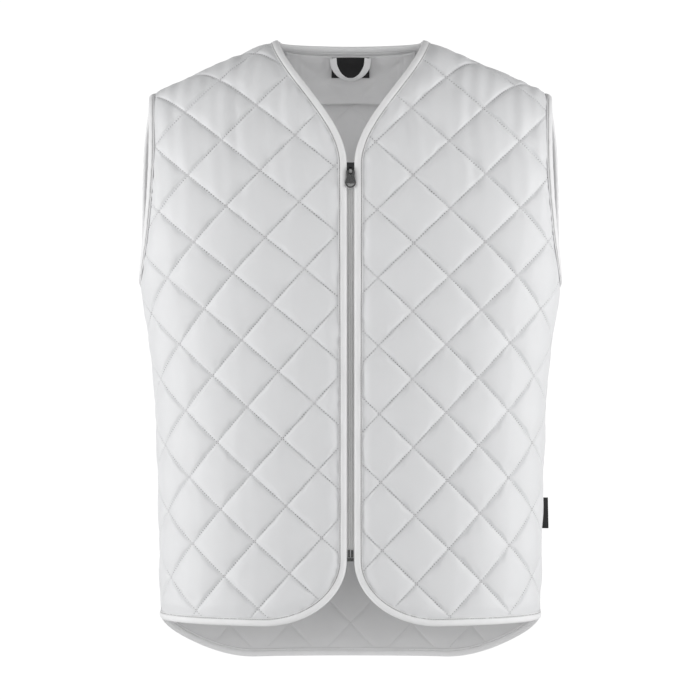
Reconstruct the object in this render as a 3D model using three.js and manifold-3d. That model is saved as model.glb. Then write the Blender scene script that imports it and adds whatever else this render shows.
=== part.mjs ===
// A sleeveless quilted vest with a V neck, a front zip and a drop tail, in the shape it has when worn.
// Millimetres, +Z up. The front faces -Y and +X is the wearer's left.
// The origin is the middle of the neck opening, level with the top of the shoulders.

import * as THREE from "three";
import { ConvexHull } from "three/addons/math/ConvexHull.js";
import { mergeVertices } from "three/addons/utils/BufferGeometryUtils.js";
import Module from "manifold-3d";

// Body: each level is a rounded rectangle in plan, squarer across the shoulders
const BODY_SECTIONS = [
  { z: 60, halfWidth: 244, frontDepth: 98, backDepth: 96, squareness: 3.2 },
  { z: -60, halfWidth: 248, frontDepth: 101, backDepth: 102, squareness: 3.2 },
  { z: -130, halfWidth: 249, frontDepth: 103, backDepth: 106, squareness: 3.1 },
  { z: -200, halfWidth: 248, frontDepth: 105, backDepth: 107, squareness: 2.9 },
  { z: -272, halfWidth: 244.5, frontDepth: 106, backDepth: 107, squareness: 2.6 },
  { z: -340, halfWidth: 235, frontDepth: 106, backDepth: 105, squareness: 2.4 },
  { z: -400, halfWidth: 228, frontDepth: 108, backDepth: 104, squareness: 2.4 },
  { z: -480, halfWidth: 224, frontDepth: 111, backDepth: 105, squareness: 2.4 },
  { z: -600, halfWidth: 221, frontDepth: 115, backDepth: 110, squareness: 2.4 },
  { z: -740, halfWidth: 218, frontDepth: 119, backDepth: 116, squareness: 2.4 },
];
const QUARTER_GIRTH = 292; // centre front or back to the side seam, along the cloth
const PLAN_STEPS = 64;

// Shoulders: the chest and the back roll in to a sloping ridge
const NECK_HALF_WIDTH = 86;
const TIP_HALF_WIDTH = 233;
const SHOULDER_SLOPE = Math.tan(THREE.MathUtils.degToRad(24.3));
const RIDGE_ROUNDING = 40;
const RIDGE_LEVEL = -100;
const RIDGE_NECK_Y = 12;
const RIDGE_TIP_Y = 4;
const ROLL_HEIGHT = 240;
const ROLL_DEPTH = 100;
const ROLL_SQUARENESS = 3;
const ROLL_STEPS = 128;

// Edges of the cloth
const ZIP_EDGE = 6.5; // from the centre line to the raw edge of a front
const NECK_BOTTOM = -148;
const NECK_CURVE = { topPull: [77, -45], bottomPull: [8, -95] }; // handles of the V neck's curve
const CORNER = { x: 100, top: -597, bottom: -670 }; // rounded lower front corner
const SIDE_HEM = -670;
const BACK_NECK = 0;
const UNDERARM = -279;
const ARMHOLE = { front: 66, back: 44, roundness: 2.4 }; // how far each half reaches from the side seam
const TAIL = { flat: 122, drop: 58 }; // half-width of the level stretch, and how low it hangs
const EDGE_STEPS = {
  neck: 14, zip: 28, corner: 15, hem: 22, tail: 22, side: 28, armhole: 14, shoulder: 10,
};
const EDGE_SAMPLES = 400;
const SEAM_GAP = 0.5;

// Quilting: stitch lines cross in squares that stand on a corner, and the filling swells between them
const QUILT_PITCH = 55.2;
const QUILT_REACH = 40;
const QUILTS = {
  right: { slash: 46.8, backslash: 139.7, crossing: [-169, -313] },
  left: { slash: 45.5, backslash: 137, crossing: [71, -316] },
  back: { slash: 45, backslash: 135, crossing: [0, -300] },
};
const CLOTH = 3; // thickness where it is stitched flat
const PUFF_OUT = 5;
const PUFF_IN = 2;
const FLAT_MARGIN = 10;
const PUFF_RAMP = 14;

// Binding: a tape folded round the edge, as (inward, outward) corners of a C
const BINDING_WIDTH = 8;
const BINDING_SECTION = [
  [BINDING_WIDTH, 3.1],
  [0.3, 3.1],
  [-1.8, 1.5],
  [-1.8, -1.5],
  [0.3, -3.1],
  [BINDING_WIDTH, -3.1],
  [BINDING_WIDTH, -2.1],
  [-0.5, -2.1],
  [-0.5, 2.1],
  [BINDING_WIDTH, 2.1],
];
const BINDING_GAP = 0.5;

// Zip, with depths measured inwards from the middle of the cloth
const TAPE = { inner: 3.3, outer: 15, front: 3.6, back: 4.4, top: -153, bottom: -594 };
const COIL = { inner: 0.35, outer: 2.9, front: 2.3, back: 5, top: -153, bottom: -585.5 };
const PIN = { inner: 0.4, outer: 3, front: 2, back: 5.2, top: -586, bottom: -594.4 };
const BOX = { inner: -3.6, outer: 3.6, front: 1.8, back: 5.6, top: -595, bottom: -598.6 };
const ZIP_STEP = 50;
const SLIDER = {
  z: -155, width: 8.6, top: 7.5, bottom: -6, neck: 3.6, front: -0.4, back: 7.4, plate: 1.4,
};
const BAIL = { width: 3, top: 2.5, shoulder: -1.4, bottom: -5.5, front: -7, wire: 1.2 };
const PULLER = {
  pivotDepth: -4.4, pivot: -3, thickness: 1.4, bar: 1.4, window: 4.2, reach: 4.4, arm: 2.5,
};
const PULLER_END = { halfWidth: 6.2, length: 19, slotWidth: 8.6, slotHeight: 3.4, slotAt: 17.3 };

// Neck pieces on the inside of the back, as (outer, inner) distances inwards from the middle of the cloth
const FACING = { halfWidth: 76, bottom: -63, outer: 4.3, inner: 5.3 };
const LABEL = { halfWidth: 22.3, height: 27, outer: 6, inner: 6.8 };
const LOOP = { tape: 8, thickness: 1, foot: 27, outer: 8.3, stand: 9, twist: 72, steps: 24 };
// Path of one leg of the loop, as (distance from the middle, share of the way down to its foot)
const LOOP_LEG = [
  [21, 0],
  [19.5, 0.42],
  [12, 0.82],
];
const SIDE_TAB = { width: 7, height: 36, thickness: 1.2, z: -550.5, stand: 2.3, tilt: -1 };

const FRONT = { facing: -1, depth: "frontDepth" };
const BACK = { facing: 1, depth: "backDepth" };

// Body surface

// Smooth value of a column of the section table at a height.
function bodySize(key, z) {
  const rows = BODY_SECTIONS;
  const height = THREE.MathUtils.clamp(z, rows.at(-1).z, rows[0].z);
  const i = Math.min(rows.findLastIndex((row) => row.z >= height), rows.length - 2);
  const slope = (k) => {
    const above = rows[Math.max(k - 1, 0)];
    const below = rows[Math.min(k + 1, rows.length - 1)];
    return (below[key] - above[key]) / (below.z - above.z);
  };
  const span = rows[i + 1].z - rows[i].z;
  const t = (height - rows[i].z) / span;
  const rise = t * t * (3 - 2 * t);
  const ease = t * (1 - t) * span;
  return (
    THREE.MathUtils.lerp(rows[i][key], rows[i + 1][key], rise) +
    ease * ((1 - t) * slope(i) - t * slope(i + 1))
  );
}

// Quarter of a body section from the centre to the side seam, with the share of its length at each point.
function planCurve(side, z) {
  const halfWidth = bodySize("halfWidth", z);
  const depth = bodySize(side.depth, z);
  const power = 2 / bodySize("squareness", z);
  const points = [];
  let length = 0;
  for (let i = 0; i <= PLAN_STEPS; i++) {
    const angle = ((Math.PI / 2) * i) / PLAN_STEPS;
    const x = halfWidth * Math.sin(angle) ** power;
    const y = depth * Math.max(Math.cos(angle), 0) ** power;
    if (i > 0) length += Math.hypot(x - points[i - 1].x, y - points[i - 1].y);
    points.push({ x, y, share: length });
  }
  points.forEach((point) => (point.share /= length));
  return points;
}

// Point of a rising or falling table at a value of one of its columns.
function lookUp(points, key, value) {
  const rising = points.at(-1)[key] > points[0][key];
  const found = points.findIndex((point) => (rising ? point[key] >= value : point[key] <= value));
  const i = found < 0 ? points.length - 1 : Math.max(found, 1);
  const from = points[i - 1];
  const to = points[i];
  const t = THREE.MathUtils.clamp((value - from[key]) / (to[key] - from[key]), 0, 1);
  return Object.fromEntries(Object.keys(to).map((k) => [k, THREE.MathUtils.lerp(from[k], to[k], t)]));
}

function ridgeHeight(x) {
  return SHOULDER_SLOPE * (Math.hypot(NECK_HALF_WIDTH, RIDGE_ROUNDING) - Math.hypot(x, RIDGE_ROUNDING));
}

function ridgeAtShare(side, share) {
  return ridgeHeight(lookUp(planCurve(side, RIDGE_LEVEL), "share", share).x);
}

// Shoulder roll by length of cloth: the share of its height climbed, and of the body's depth still left
const ROLL = [{ length: 0, rise: 0, depth: 1 }];
for (let i = 1; i <= ROLL_STEPS; i++) {
  const angle = ((Math.PI / 2) * i) / ROLL_STEPS;
  const rise = Math.sin(angle) ** (2 / ROLL_SQUARENESS);
  const depth = Math.max(Math.cos(angle), 0) ** (2 / ROLL_SQUARENESS);
  const before = ROLL[i - 1];
  const step = Math.hypot(ROLL_HEIGHT * (rise - before.rise), ROLL_DEPTH * (before.depth - depth));
  ROLL.push({ length: before.length + step, rise, depth });
}

// The cloth lies flat in (u, v): u round the body from the centre, v up the cloth, z itself below the chest.
function surfacePoint(side, u, v) {
  const share = Math.min(Math.abs(u) / QUARTER_GIRTH, 1);
  const ridge = ridgeAtShare(side, share);
  const foot = ridge - ROLL_HEIGHT;
  const { rise, depth } = lookUp(ROLL, "length", v - foot);
  const z = v > foot ? foot + ROLL_HEIGHT * rise : v;
  const { x, y } = lookUp(planCurve(side, z), "share", share);
  const ridgeY = THREE.MathUtils.mapLinear(x, 0, TIP_HALF_WIDTH, RIDGE_NECK_Y, RIDGE_TIP_Y);
  return new THREE.Vector3(Math.sign(u) * x, THREE.MathUtils.lerp(ridgeY, side.facing * y, depth), z);
}

function surfaceNormal(side, u, v) {
  const across = surfacePoint(side, u + 1, v).sub(surfacePoint(side, u - 1, v));
  const along = surfacePoint(side, u, v + 1).sub(surfacePoint(side, u, v - 1));
  return across.cross(along).normalize().multiplyScalar(-side.facing);
}

// Point at a distance outwards from the middle of the cloth.
function clothPoint(side, flat, outward) {
  const normal = surfaceNormal(side, flat.x, flat.y);
  return surfacePoint(side, flat.x, flat.y).addScaledVector(normal, outward);
}

// Height v on the cloth of a point at height z.
function clothHeight(side, share, z) {
  const foot = ridgeAtShare(side, share) - ROLL_HEIGHT;
  return z > foot ? foot + lookUp(ROLL, "rise", (z - foot) / ROLL_HEIGHT).length : z;
}

// Flat (u, v) of a point seen from the front at (x, z).
function flatAt(side, x, z) {
  const { share } = lookUp(planCurve(side, z), "x", Math.abs(x));
  return new THREE.Vector2(Math.sign(x) * share * QUARTER_GIRTH, clothHeight(side, share, z));
}

// Flat outlines

// Points of an edge from t = 0 up to, but not at, t = 1, spaced by its length on the flat cloth.
function edgePoints(pointAt, step) {
  const fine = Array.from({ length: EDGE_SAMPLES + 1 }, (_, i) => pointAt(i / EDGE_SAMPLES));
  const table = [{ t: 0, length: 0 }];
  for (let i = 1; i < fine.length; i++)
    table.push({ t: i / EDGE_SAMPLES, length: table[i - 1].length + fine[i].distanceTo(fine[i - 1]) });
  const total = table.at(-1).length;
  const count = Math.max(2, Math.round(total / step));
  return Array.from({ length: count }, (_, i) => pointAt(lookUp(table, "length", (total * i) / count).t));
}

// Armhole edge of the wearer's left half, from the underarm at t = 0 to the shoulder tip at t = 1.
function armholeEdge(side, reach) {
  const tipShare = lookUp(planCurve(side, RIDGE_LEVEL), "x", TIP_HALF_WIDTH).share;
  const tipZ = ridgeAtShare(side, tipShare);
  const tipReach = lookUp(planCurve(side, tipZ), "share", tipShare).y;
  return (t) => {
    const angle = (Math.PI / 2) * t;
    const climb = 1 - Math.max(Math.cos(angle), 0) ** (2 / ARMHOLE.roundness);
    const z = THREE.MathUtils.lerp(UNDERARM, tipZ, climb);
    const y = reach * Math.sin(angle) ** (2 / ARMHOLE.roundness) + (tipReach - reach) * climb ** 4;
    const { share } = lookUp(planCurve(side, z), "y", y);
    return new THREE.Vector2(share * QUARTER_GIRTH, clothHeight(side, share, z));
  };
}

// Shoulder seam from the tip at t = 0 to the neck at t = 1.
function shoulderEdge(side) {
  return (t) => flatOnRidge(side, THREE.MathUtils.lerp(TIP_HALF_WIDTH, NECK_HALF_WIDTH, t));
}

function flatOnRidge(side, x) {
  const { share } = lookUp(planCurve(side, RIDGE_LEVEL), "x", x);
  return new THREE.Vector2(share * QUARTER_GIRTH, clothHeight(side, share, ridgeAtShare(side, share)));
}

// Keeps an outline clear of its side and shoulder seams.
function clearSeams(side, points) {
  const half = SEAM_GAP / 2;
  return points.map((point) => {
    const u = THREE.MathUtils.clamp(point.x, half - QUARTER_GIRTH, QUARTER_GIRTH - half);
    const share = Math.abs(u) / QUARTER_GIRTH;
    const top = clothHeight(side, share, ridgeAtShare(side, share)) - half;
    return new THREE.Vector2(u, Math.min(point.y, top));
  });
}

// Outline with the index where each named edge starts; an edge ends where the next one starts.
function joinEdges(side, edges) {
  const starts = {};
  const points = [];
  for (const [name, pointAt] of Object.entries(edges)) {
    starts[name] = points.length;
    const kind = Object.keys(EDGE_STEPS).find((key) => name.toLowerCase().endsWith(key));
    points.push(...edgePoints(pointAt, EDGE_STEPS[kind]));
  }
  return { side, starts, points: clearSeams(side, points) };
}

// Left front, counter-clockwise from the neck end of the shoulder seam.
function frontOutline() {
  const vNeck = new THREE.CubicBezierCurve(
    new THREE.Vector2(NECK_HALF_WIDTH, 0),
    new THREE.Vector2(...NECK_CURVE.topPull),
    new THREE.Vector2(...NECK_CURVE.bottomPull),
    new THREE.Vector2(ZIP_EDGE, NECK_BOTTOM),
  );
  const cornerShare = lookUp(planCurve(FRONT, CORNER.bottom), "x", CORNER.x).share;
  return joinEdges(FRONT, {
    neck: (t) => {
      const point = vNeck.getPoint(t);
      return flatAt(FRONT, point.x, point.y);
    },
    zip: (t) => flatAt(FRONT, ZIP_EDGE, THREE.MathUtils.lerp(NECK_BOTTOM, CORNER.top, t)),
    corner: (t) => {
      const angle = (Math.PI / 2) * t;
      const x = CORNER.x - (CORNER.x - ZIP_EDGE) * Math.cos(angle);
      return flatAt(FRONT, x, CORNER.top - (CORNER.top - CORNER.bottom) * Math.sin(angle));
    },
    hem: (t) => {
      const share = THREE.MathUtils.lerp(cornerShare, 1, t);
      const hem = THREE.MathUtils.lerp(CORNER.bottom, SIDE_HEM, t * t);
      return new THREE.Vector2(share * QUARTER_GIRTH, hem);
    },
    side: (t) => new THREE.Vector2(QUARTER_GIRTH, THREE.MathUtils.lerp(SIDE_HEM, UNDERARM, t)),
    armhole: armholeEdge(FRONT, ARMHOLE.front),
    shoulder: shoulderEdge(FRONT),
  });
}

// Whole back, counter-clockwise from the left end of the neck.
function backOutline() {
  const mirrored = (pointAt) => (t) => {
    const point = pointAt(1 - t);
    return new THREE.Vector2(-point.x, point.y);
  };
  const armhole = armholeEdge(BACK, ARMHOLE.back);
  const shoulder = shoulderEdge(BACK);
  const side = (t) => new THREE.Vector2(QUARTER_GIRTH, THREE.MathUtils.lerp(SIDE_HEM, UNDERARM, t));
  return joinEdges(BACK, {
    neck: (t) => flatAt(BACK, THREE.MathUtils.lerp(NECK_HALF_WIDTH, -NECK_HALF_WIDTH, t), BACK_NECK),
    rightShoulder: mirrored(shoulder),
    rightArmhole: mirrored(armhole),
    rightSide: mirrored(side),
    tail: (t) => {
      const u = THREE.MathUtils.lerp(-QUARTER_GIRTH, QUARTER_GIRTH, t);
      const beside = Math.max(0, Math.abs(u) - TAIL.flat) / (QUARTER_GIRTH - TAIL.flat);
      const rise = beside * beside * (2 - beside);
      return new THREE.Vector2(u, SIDE_HEM - TAIL.drop * (1 - rise));
    },
    leftSide: side,
    leftArmhole: armhole,
    leftShoulder: shoulder,
  });
}

// Right front: the left one mirrored, still counter-clockwise.
function mirrorFront(front) {
  const points = front.points.map((point) => new THREE.Vector2(-point.x, point.y));
  return { side: front.side, starts: front.starts, points, mirrored: true };
}

// Quilted panels

function insideOutline(points, p) {
  let inside = false;
  points.forEach((a, i) => {
    const b = points[(i + 1) % points.length];
    const straddles = a.y > p.y !== b.y > p.y;
    if (straddles && p.x < a.x + ((p.y - a.y) / (b.y - a.y)) * (b.x - a.x)) inside = !inside;
  });
  return inside;
}

function distanceToOutline(points, p) {
  const nearest = new THREE.Vector3();
  const at = new THREE.Vector3(p.x, p.y, 0);
  return Math.min(
    ...points.map((a, i) => {
      const b = points[(i + 1) % points.length];
      const line = new THREE.Line3(new THREE.Vector3(a.x, a.y, 0), new THREE.Vector3(b.x, b.y, 0));
      return line.closestPointToPoint(at, true, nearest).distanceTo(at);
    }),
  );
}

// Unit step into the cloth at a point of an outline, lengthened on bends so that its edge stays parallel.
function inwardStep(outline, i) {
  const { points } = outline;
  const turn = outline.mirrored ? -1 : 1;
  const before = points[(i + points.length - 1) % points.length];
  const after = points[(i + 1) % points.length];
  const first = points[i].clone().sub(before).normalize();
  const second = after.clone().sub(points[i]).normalize();
  const left = (d) => new THREE.Vector2(-d.y * turn, d.x * turn);
  const middle = left(first).add(left(second)).normalize();
  return middle.divideScalar(Math.max(middle.dot(left(first)), 0.5));
}

// Delaunay triangles of flat points: lifted onto a bowl, they are the underside of its convex hull.
function flatTriangles(flat) {
  const lifted = flat.map((p, i) => new THREE.Vector3(p.x, p.y, p.lengthSq() + 1e-3 * Math.sin(i * i)));
  const index = new Map(lifted.map((point, i) => [point, i]));
  const triangles = [];
  for (const face of new ConvexHull().setFromPoints(lifted).faces) {
    if (face.normal.z >= 0) continue;
    const corners = [0, 1, 2].map((k) => index.get(face.getEdge(k).head().point));
    triangles.push(corners.reverse());
  }
  return triangles;
}

// Height of the filling between the stitch lines, as a share of its full height.
function pillow(quilt, p) {
  const { a, b } = quiltSteps(quilt, p);
  return Math.sqrt(Math.abs(Math.sin(Math.PI * a) * Math.sin(Math.PI * b)));
}

function quiltAxes(quilt) {
  return [quilt.slash, quilt.backslash].map((degrees) => {
    const angle = THREE.MathUtils.degToRad(degrees);
    return new THREE.Vector2(Math.cos(angle), Math.sin(angle)).multiplyScalar(QUILT_PITCH);
  });
}

// Position of a point counted in quilt squares along the two stitch directions.
function quiltSteps(quilt, p) {
  const [slash, backslash] = quiltAxes(quilt);
  const from = p.clone().sub(new THREE.Vector2(...quilt.crossing));
  const area = slash.cross(backslash);
  return { a: from.cross(backslash) / area, b: slash.cross(from) / area };
}

// Stitch crossings, line middles and square middles that lie well inside an outline.
function quiltPoints(points, quilt) {
  const [slash, backslash] = quiltAxes(quilt);
  const clearance = FLAT_MARGIN + QUILT_PITCH / 8;
  const found = [];
  for (let i = -QUILT_REACH; i <= QUILT_REACH; i++)
    for (let j = -QUILT_REACH; j <= QUILT_REACH; j++) {
      const p = new THREE.Vector2(...quilt.crossing);
      p.addScaledVector(slash, i / 2).addScaledVector(backslash, j / 2);
      if (insideOutline(points, p) && distanceToOutline(points, p) > clearance) found.push(p);
    }
  return found;
}

function quiltedPanel(outline, quilt) {
  const { side, points } = outline;
  const inset = [];
  points.forEach((point, i) => {
    const p = point.clone().addScaledVector(inwardStep(outline, i), FLAT_MARGIN);
    const crowded = inset.some((other) => other.distanceTo(p) < FLAT_MARGIN / 2);
    if (!crowded && distanceToOutline(points, p) > 0.9 * FLAT_MARGIN) inset.push(p);
  });
  const swollen = quiltPoints(points, quilt);
  const flat = [...points, ...inset, ...swollen];
  const puff = flat.map((p, i) => {
    if (i < flat.length - swollen.length) return 0;
    const ramp = Math.min((distanceToOutline(points, p) - FLAT_MARGIN) / PUFF_RAMP, 1);
    return ramp * pillow(quilt, p);
  });
  const triangles = flatTriangles(flat).filter((corners) => {
    const middle = new THREE.Vector2();
    corners.forEach((i) => middle.addScaledVector(flat[i], 1 / 3));
    return insideOutline(points, middle);
  });
  const outer = flat.map((p, i) => clothPoint(side, p, CLOTH / 2 + PUFF_OUT * puff[i]));
  const inner = flat.map((p, i) => clothPoint(side, p, -CLOTH / 2 - PUFF_IN * puff[i]));
  return closedSlab(outer, inner, triangles, side.facing < 0);
}

// Solid between two sheets of matching points, walled along the rim of the triangles.
function closedSlab(outer, inner, triangles, upright) {
  const count = outer.length;
  const faces = [];
  const rim = new Map();
  for (const [a, b, c] of triangles) {
    faces.push([a, b, c], [c + count, b + count, a + count]);
    for (const [from, to] of [[a, b], [b, c], [c, a]]) {
      if (!rim.delete(`${to},${from}`)) rim.set(`${from},${to}`, [from, to]);
    }
  }
  for (const [from, to] of rim.values())
    faces.push([to, from, from + count], [to, from + count, to + count]);
  return solidGeometry([...outer, ...inner], upright ? faces : faces.map(([a, b, c]) => [c, b, a]));
}

function solidGeometry(points, faces) {
  const geometry = new THREE.BufferGeometry().setFromPoints(points);
  geometry.setIndex(faces.flat());
  geometry.computeVertexNormals();
  return geometry;
}

// Swept pieces

// Solid through matching rings of points, closed into a loop or capped at both ends.
function sweptRings(rings, capTriangles) {
  const size = rings[0].length;
  const last = capTriangles ? rings.length - 1 : rings.length;
  const faces = [];
  for (let i = 0; i < last; i++) {
    const here = i * size;
    const there = ((i + 1) % rings.length) * size;
    for (let k = 0; k < size; k++) {
      const next = (k + 1) % size;
      faces.push([here + k, here + next, there + next], [here + k, there + next, there + k]);
    }
  }
  for (const [a, b, c] of capTriangles ?? []) {
    faces.push([c, b, a]);
    faces.push([a, b, c].map((i) => i + (rings.length - 1) * size));
  }
  const points = rings.flat();
  const wedge = ([a, b, c]) => points[a].dot(points[b].clone().cross(points[c]));
  const volume = faces.reduce((sum, face) => sum + wedge(face), 0);
  return solidGeometry(points, volume > 0 ? faces : faces.map(([a, b, c]) => [c, b, a]));
}

// Binding section at a point of an edge; inward is the flat step into the cloth.
function bindingRing(side, point, inward) {
  const edge = surfacePoint(side, point.x, point.y);
  const edgeNormal = surfaceNormal(side, point.x, point.y);
  const inside = clothPoint(side, point.clone().addScaledVector(inward, 2), 0);
  const past = edge.clone().sub(inside).normalize();
  return BINDING_SECTION.map(([depth, outward]) =>
    depth > 0
      ? clothPoint(side, point.clone().addScaledVector(inward, depth), outward)
      : edge.clone().addScaledVector(past, -depth).addScaledVector(edgeNormal, outward),
  );
}

// Stations along part of an outline. At each end the section lies in the seam that ends the edge.
function bindingStations(outline, from, to) {
  const { side, points } = outline;
  const stations = [];
  for (let i = from; i <= to; i++) {
    const at = (k) => points[(k + points.length) % points.length];
    let inward = inwardStep(outline, i % points.length);
    const point = at(i).clone();
    if (i === from || i === to) {
      const turn = (i === from ? 1 : -1) * (outline.mirrored ? -1 : 1);
      const along = (i === from ? at(i + 1) : at(i - 1)).clone().sub(point).normalize();
      const seam = (i === from ? at(i - 1) : at(i + 1)).clone().sub(point).normalize();
      inward = seam.divideScalar(seam.dot(new THREE.Vector2(-along.y * turn, along.x * turn)));
      point.addScaledVector(along, BINDING_GAP / 2);
    }
    stations.push({ side, point, inward });
  }
  return stations;
}

const bindingCap = THREE.ShapeUtils.triangulateShape(
  BINDING_SECTION.map((corner) => new THREE.Vector2(...corner)),
  [],
);

function bindingAlong(stations) {
  const rings = stations.map(({ side, point, inward }) => bindingRing(side, point, inward));
  return sweptRings(rings, bindingCap);
}

// Ring round an armhole: the front edge up to the tip, then the back edge down to the underarm.
function bindingAround(frontStations, backStations) {
  const rings = [...frontStations, ...backStations].map(({ side, point, inward }) =>
    bindingRing(side, point, inward),
  );
  return sweptRings(rings);
}

// Bar that follows the middle of the front down the zip, mirrored to the wearer's right by turn = -1.
function zipBar({ inner, outer, front, back, top, bottom }, turn) {
  const steps = Math.max(1, Math.round((top - bottom) / ZIP_STEP));
  const rings = Array.from({ length: steps + 1 }, (_, i) => {
    const z = THREE.MathUtils.lerp(top, bottom, i / steps);
    const y = zipLine(z);
    return [
      [inner, front],
      [outer, front],
      [outer, back],
      [inner, back],
    ].map(([x, depth]) => new THREE.Vector3(x * turn, y + depth, z));
  });
  return sweptRings(rings, [
    [0, 1, 2],
    [0, 2, 3],
  ]);
}

function zipLine(z) {
  const flat = flatAt(FRONT, ZIP_EDGE, z);
  return surfacePoint(FRONT, flat.x, flat.y).y;
}

// Slab on the inside of the back between two heights that may change along u.
function backSlab(halfWidth, topAt, bottomAt, outer, inner, columns, rows) {
  const flat = [];
  const triangles = [];
  for (let j = 0; j <= rows; j++)
    for (let i = 0; i <= columns; i++) {
      const u = THREE.MathUtils.lerp(-halfWidth, halfWidth, i / columns);
      flat.push(new THREE.Vector2(u, THREE.MathUtils.lerp(bottomAt(u), topAt(u), j / rows)));
      if (i < columns && j < rows) {
        const k = j * (columns + 1) + i;
        triangles.push([k, k + 1, k + columns + 2], [k, k + columns + 2, k + columns + 1]);
      }
    }
  const outerSheet = flat.map((p) => clothPoint(BACK, p, -outer));
  const innerSheet = flat.map((p) => clothPoint(BACK, p, -inner));
  return closedSlab(outerSheet, innerSheet, triangles, false);
}

// Lower edge of the back neck's binding at a place along the neck.
function underBackNeck(u) {
  const share = Math.abs(u) / QUARTER_GIRTH;
  return clothHeight(BACK, share, BACK_NECK) - BINDING_WIDTH - BINDING_GAP;
}

// Tape that leaves the neck flat, hangs in a U and turns nearly edge on at its foot.
function hangerLoop() {
  const alongDrop = (x, share) => {
    const flat = new THREE.Vector2(x, underBackNeck(0) - LOOP.foot * share);
    return clothPoint(BACK, flat, -LOOP.outer - LOOP.stand * share);
  };
  const path = new THREE.CatmullRomCurve3([
    ...LOOP_LEG.map(([x, share]) => alongDrop(-x, share)),
    alongDrop(0, 1),
    ...LOOP_LEG.toReversed().map(([x, share]) => alongDrop(x, share)),
  ]);
  const inwards = new THREE.Vector3(0, 1, 0);
  const rings = Array.from({ length: LOOP.steps + 1 }, (_, i) => {
    const t = i / LOOP.steps;
    const along = path.getTangentAt(t);
    const flat = new THREE.Vector3().crossVectors(inwards, along).normalize();
    const face = new THREE.Vector3().crossVectors(along, flat).normalize();
    const twist = THREE.MathUtils.degToRad(LOOP.twist) * Math.sin(Math.PI * t) ** 2;
    const wide = flat.clone().applyAxisAngle(along, twist).multiplyScalar(LOOP.tape / 2);
    const thick = face.clone().applyAxisAngle(along, twist).multiplyScalar(LOOP.thickness / 2);
    return [
      [1, 1],
      [-1, 1],
      [-1, -1],
      [1, -1],
    ].map(([a, b]) => path.getPointAt(t).addScaledVector(wide, a).addScaledVector(thick, b));
  });
  return sweptRings(rings, [
    [0, 1, 2],
    [0, 2, 3],
  ]);
}

// Zip slider and puller, in a frame that leans with the chest at the top of the zip

const wasm = await Module();
wasm.setup();

function manifoldOf(geometry) {
  const bare = geometry.clone();
  bare.deleteAttribute("normal");
  bare.deleteAttribute("uv");
  const merged = mergeVertices(bare, 1e-4);
  return new wasm.Manifold(
    new wasm.Mesh({
      numProp: 3,
      vertProperties: merged.attributes.position.array,
      triVerts: new Uint32Array(merged.index.array),
    }),
  );
}

function joined(first, second) {
  const mesh = manifoldOf(first).add(manifoldOf(second)).getMesh();
  const geometry = new THREE.BufferGeometry();
  geometry.setAttribute("position", new THREE.BufferAttribute(mesh.vertProperties, 3));
  geometry.setIndex(new THREE.BufferAttribute(mesh.triVerts, 1));
  geometry.computeVertexNormals();
  return geometry;
}

// Profile drawn as (depth, height) and given a width across X.
function acrossX(shape, width) {
  const geometry = new THREE.ExtrudeGeometry(shape, { depth: width, bevelEnabled: false });
  geometry.translate(0, 0, -width / 2);
  return geometry.applyMatrix4(
    new THREE.Matrix4().makeBasis(
      new THREE.Vector3(0, 1, 0),
      new THREE.Vector3(0, 0, 1),
      new THREE.Vector3(1, 0, 0),
    ),
  );
}

function polygon(corners) {
  return new THREE.Shape(corners.map((corner) => new THREE.Vector2(...corner)));
}

function sliderGeometry() {
  const { top, bottom, neck, front, back, plate } = SLIDER;
  const body = polygon([
    [front, top],
    [front, bottom],
    [front + plate, bottom],
    [front + plate, neck],
    [back - plate, neck],
    [back - plate, bottom],
    [back, bottom],
    [back, top],
  ]);
  const root = front + plate / 2;
  const slope = (BAIL.top - BAIL.shoulder) / (root - BAIL.front);
  const slopeDrop = BAIL.wire * Math.hypot(1, slope);
  const bail = polygon([
    [root, BAIL.top],
    [BAIL.front, BAIL.shoulder],
    [BAIL.front, BAIL.bottom + BAIL.wire],
    [BAIL.front + BAIL.wire, BAIL.bottom],
    [root, BAIL.bottom],
    [root, BAIL.bottom + BAIL.wire],
    [BAIL.front + BAIL.wire, BAIL.bottom + BAIL.wire],
    [BAIL.front + BAIL.wire, BAIL.shoulder + slope * BAIL.wire - slopeDrop],
    [root, BAIL.top - slopeDrop],
  ]);
  return joined(acrossX(body, SLIDER.width), acrossX(bail, BAIL.width));
}

// Puller drawn as (x, height) below its pivot, with a window for the bail and a half-moon finger hole.
function pullerGeometry() {
  const { thickness, bar, window, reach, arm } = PULLER;
  const { halfWidth, length, slotWidth, slotHeight, slotAt } = PULLER_END;
  const shoulder = window / 2 + arm;
  const shape = new THREE.Shape();
  shape.moveTo(-shoulder, bar / 2);
  shape.lineTo(-shoulder, -reach - arm);
  shape.absarc(0, halfWidth - length, halfWidth, Math.PI, 2 * Math.PI, false);
  shape.lineTo(shoulder, -reach - arm);
  shape.lineTo(shoulder, bar / 2);
  const bailWindow = new THREE.Path();
  bailWindow.moveTo(-window / 2, -bar / 2);
  bailWindow.lineTo(window / 2, -bar / 2);
  bailWindow.lineTo(window / 2, -reach);
  bailWindow.lineTo(-window / 2, -reach);
  const fingerHole = new THREE.Path();
  fingerHole.absellipse(0, -slotAt + slotHeight, slotWidth / 2, slotHeight, Math.PI, 2 * Math.PI, false, 0);
  shape.holes.push(bailWindow, fingerHole);
  const plate = { depth: thickness, bevelEnabled: false, curveSegments: 8 };
  const geometry = new THREE.ExtrudeGeometry(shape, plate);
  return geometry.translate(0, 0, -thickness / 2).rotateX(Math.PI / 2);
}

// Assembly

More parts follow.
